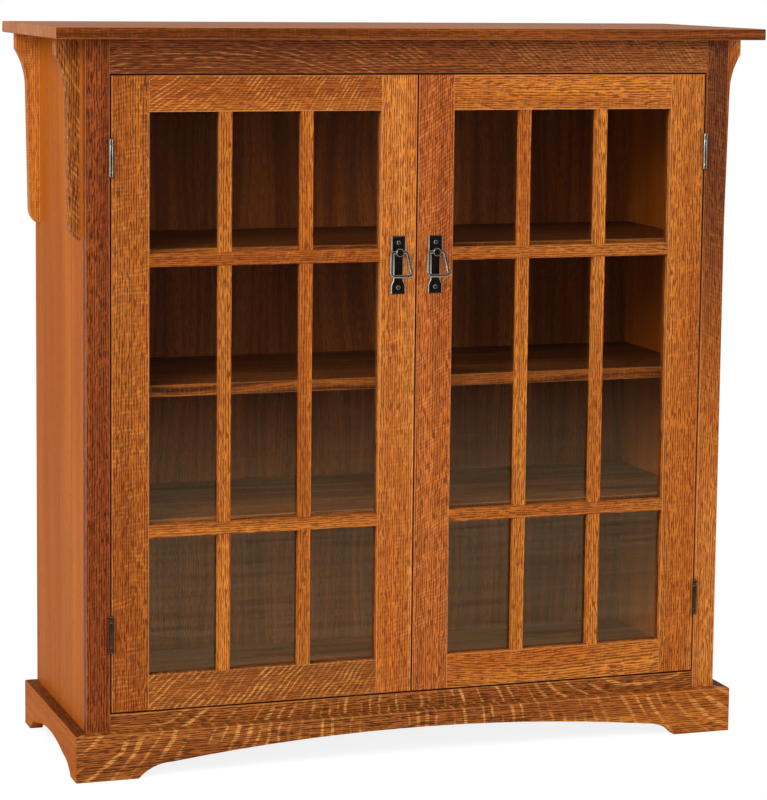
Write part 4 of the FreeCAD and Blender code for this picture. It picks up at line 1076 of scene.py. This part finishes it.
def with_painted_highlights(piece):
    """Paint two highlight lines down the upper knuckles, with a dark one between them."""
    def shines(normal, middle):
        upper_front = middle.z > HINGE_LOWS[1] and middle.y < HINGE_Y
        return upper_front and (-0.9 < normal.x < -0.6 or 0.2 < normal.x < 0.55)

    return paint_highlight(piece, shines)


print("knuckles are", 2 * KNUCKLE_RADIUS, "mm thick")

# %% Pins with buttons
HINGE_PIN_RADIUS = 1.5
TIP_RADIUS = 3.1
TIP_THICK = 1.6


def buttons():
    """The pin of a lower hinge on the right, with a rounded button at each end."""
    low = HINGE_LOWS[0]
    parts = [rod((HINGE_X, HINGE_Y, low), "z", HINGE_PIN_RADIUS, HINGE_HIGH, 24)]
    rims = (low - TIP_THICK, low + HINGE_HIGH + TIP_THICK)
    for start in (low - TIP_THICK, low + HINGE_HIGH):
        button = rod((HINGE_X, HINGE_Y, start), "z", TIP_RADIUS, TIP_THICK, 32)
        edit(button)
        pick(EDGES, lambda place: near(place.z, *rims))
        bevelled(2 * EASED, 4)
        parts.append(leave())
    return joined(*parts)


def both_heights(piece):
    """A piece of the lower hinge and its copy on the upper one."""
    return joined(piece, copied(piece, (0, 0, HINGE_LOWS[1] - HINGE_LOWS[0])))


print("pins are", 2 * HINGE_PIN_RADIUS, "mm thick")

# %% Put the hinges together
end_spans = ((0, END_KNUCKLE), (HINGE_HIGH - END_KNUCKLE, END_KNUCKLE))
long_start = END_KNUCKLE + KNUCKLE_GAP
door_leaf = both_heights(leaf(DOOR_LEAF_X, ((long_start, HINGE_HIGH - 2 * long_start),)))
frame_leaf = both_heights(leaf(FRAME_LEAF_X, end_spans))
pin = both_heights(buttons())
left_leaf = copied(door_leaf, mirrored=True)
names = "butt_leaves_%s", HINGE_LOOK, "hinge_steel", "door_%s_hinge_leaves"
settle_pair(with_painted_highlights(left_leaf), with_painted_highlights(door_leaf), *names)
frame_leaves = with_painted_highlights(joined(frame_leaf, copied(frame_leaf, mirrored=True)))
settle(frame_leaves, "butt_leaves_frame", HINGE_LOOK, "hinge_steel", "case", "hinge_frame_leaves")
pins = joined(pin, copied(pin, mirrored=True))
settle(pins, "button_pins", [pewter], "hinge_steel", "case", "hinge_pins")

# %% Screw the hinges on
HINGE_SCREW_Y = -170
HINGE_SCREW_RISES = (12, 48)
FIRST_TURN = 20
NEXT_TURN = 37


def screwed_on(x, turn):
    """The four screws that hold the leaves of two hinges."""
    heights = [low + rise for low in HINGE_LOWS for rise in HINGE_SCREW_RISES]
    slots = [(z, FIRST_TURN + NEXT_TURN * number) for number, z in enumerate(heights)]
    return joined(*[placed(pattern, (x, HINGE_SCREW_Y, z), (("Z", turn),), slot) for z, slot in slots])


pattern = slotted_screw(**HINGE_SCREW)
frame_x = FRAME_LEAF_X + LEAF_THICK
in_frame = joined(screwed_on(-frame_x, -90), screwed_on(frame_x, 90))
in_doors = screwed_on(-DOOR_LEAF_X, 90), screwed_on(DOOR_LEAF_X, -90)
names = "slotted_hinge_screws_%s", [steel], "hinge_steel", "door_%s_hinge_screws"
settle_pair(*in_doors, *names)
settle(in_frame, "slotted_hinge_screws_frame", [steel], "hinge_steel", "case", "hinge_frame_screws")
bpy.data.objects.remove(pattern)

# %% [markdown]
# ## Catches and the screws under the top
# A magnetic catch is a small moulded box with two steel poles at its mouth, and the door carries a plain
# strike plate held by one screw. Six round-headed screws go up through the sub-top into the top board.

# %% Make the catches
CATCH_LOW = (15.8, -160, 1131)
CATCH_HIGH = (49.8, -143, 1147)
MOUTH_RIM = 2.8
MOUTH_DEPTH = 2.5
HOUSING_ROUND = 1.2
POLE_THICK = 1.4
POLE_RISE = 3.6
POLE_INSET = 6
POLE_BACK = 0.2
POLE_DEPTH = 2.4
POLE_EASED = 0.3


def catch():
    """The right-hand housing, with a mouth at the front."""
    housing = block(CATCH_LOW, CATCH_HIGH)
    edit(housing)
    pick(FACES, lambda place: near(place.y, CATCH_LOW[1]))
    bpy.ops.mesh.inset(thickness=MOUTH_RIM / 1000)
    drawn((0, MOUTH_DEPTH, 0))
    waist = (CATCH_LOW[2] + CATCH_HIGH[2]) / 2

    def outer(place):
        upright = near(place.x, CATCH_LOW[0], CATCH_HIGH[0]) and near(place.z, waist)
        return upright or near(place.z, CATCH_LOW[2])

    pick(EDGES, outer)
    bevelled(HOUSING_ROUND, 3)
    return leave()


def pole(low):
    """A steel pole of the right-hand catch, with its front edges eased."""
    front = CATCH_LOW[1] + POLE_BACK
    corner = (CATCH_HIGH[0] - POLE_INSET, front + POLE_DEPTH, low + POLE_THICK)
    bar = block((CATCH_LOW[0] + POLE_INSET, front, low), corner)
    edit(bar)
    pick(EDGES, lambda place: near(place.y, front))
    bevelled(POLE_EASED, 2)
    return leave()


housings = catch()
housings = joined(housings, copied(housings, TO_LEFT))
settle(housings, "moulded_catches", [brown_plastic], "catch_plastic", "case", "magnetic_catches")
poles = joined(pole(CATCH_LOW[2] + POLE_RISE), pole(CATCH_HIGH[2] - POLE_RISE - POLE_THICK))
poles = joined(poles, copied(poles, TO_LEFT))
settle(poles, "catch_poles", [steel], "screw_steel", "case")

# %% Make the strikes
STRIKE_LOW = (25.3, -161.5, 1133)
STRIKE_HIGH = (40.3, -160.3, 1145)
STRIKE_EASED = 0.4
DIMPLE_RIM = 3
DIMPLE_SLOPE = 1.2
DIMPLE_DEPTH = 0.4


def strike():
    """The right-hand strike plate, with its back edges eased and a dimple for its screw."""
    plate = block(STRIKE_LOW, STRIKE_HIGH)
    edit(plate)
    pick(EDGES, lambda place: near(place.y, STRIKE_HIGH[1]))
    bevelled(STRIKE_EASED, 2)
    pick(FACES, lambda place: near(place.y, STRIKE_HIGH[1]))
    for rim in (DIMPLE_RIM, DIMPLE_SLOPE):
        bpy.ops.mesh.inset(thickness=rim / 1000)
    moved((0, -DIMPLE_DEPTH, 0))
    return leave()


pattern = strike()
names = "pressed_strike_%s", [steel], "screw_steel", "door_%s_strike_plate"
settle_pair(copied(pattern, TO_LEFT), pattern, *names)

# %% Screw the top on
TOP_SCREW_XS = (-480, 0, 480)
TOP_SCREW_YS = (-116, 149)
TOP_SCREW_Z = 1197
TOP_SLOT_TURN = 25

pattern = slotted_screw(**TOP_SCREW)
places = enumerate((x, y, TOP_SCREW_Z) for x in TOP_SCREW_XS for y in TOP_SCREW_YS)
under = [placed(pattern, place, (("X", -90),), TOP_SLOT_TURN * number) for number, place in places]
settle(joined(*under), "slotted_top_screws", [steel], "screw_steel", "case", "top_screws")
bpy.data.objects.remove(pattern)

# %% [markdown]
# ## Done

# %% Finish
bpy.context.scene.view_settings.view_transform = "Standard"
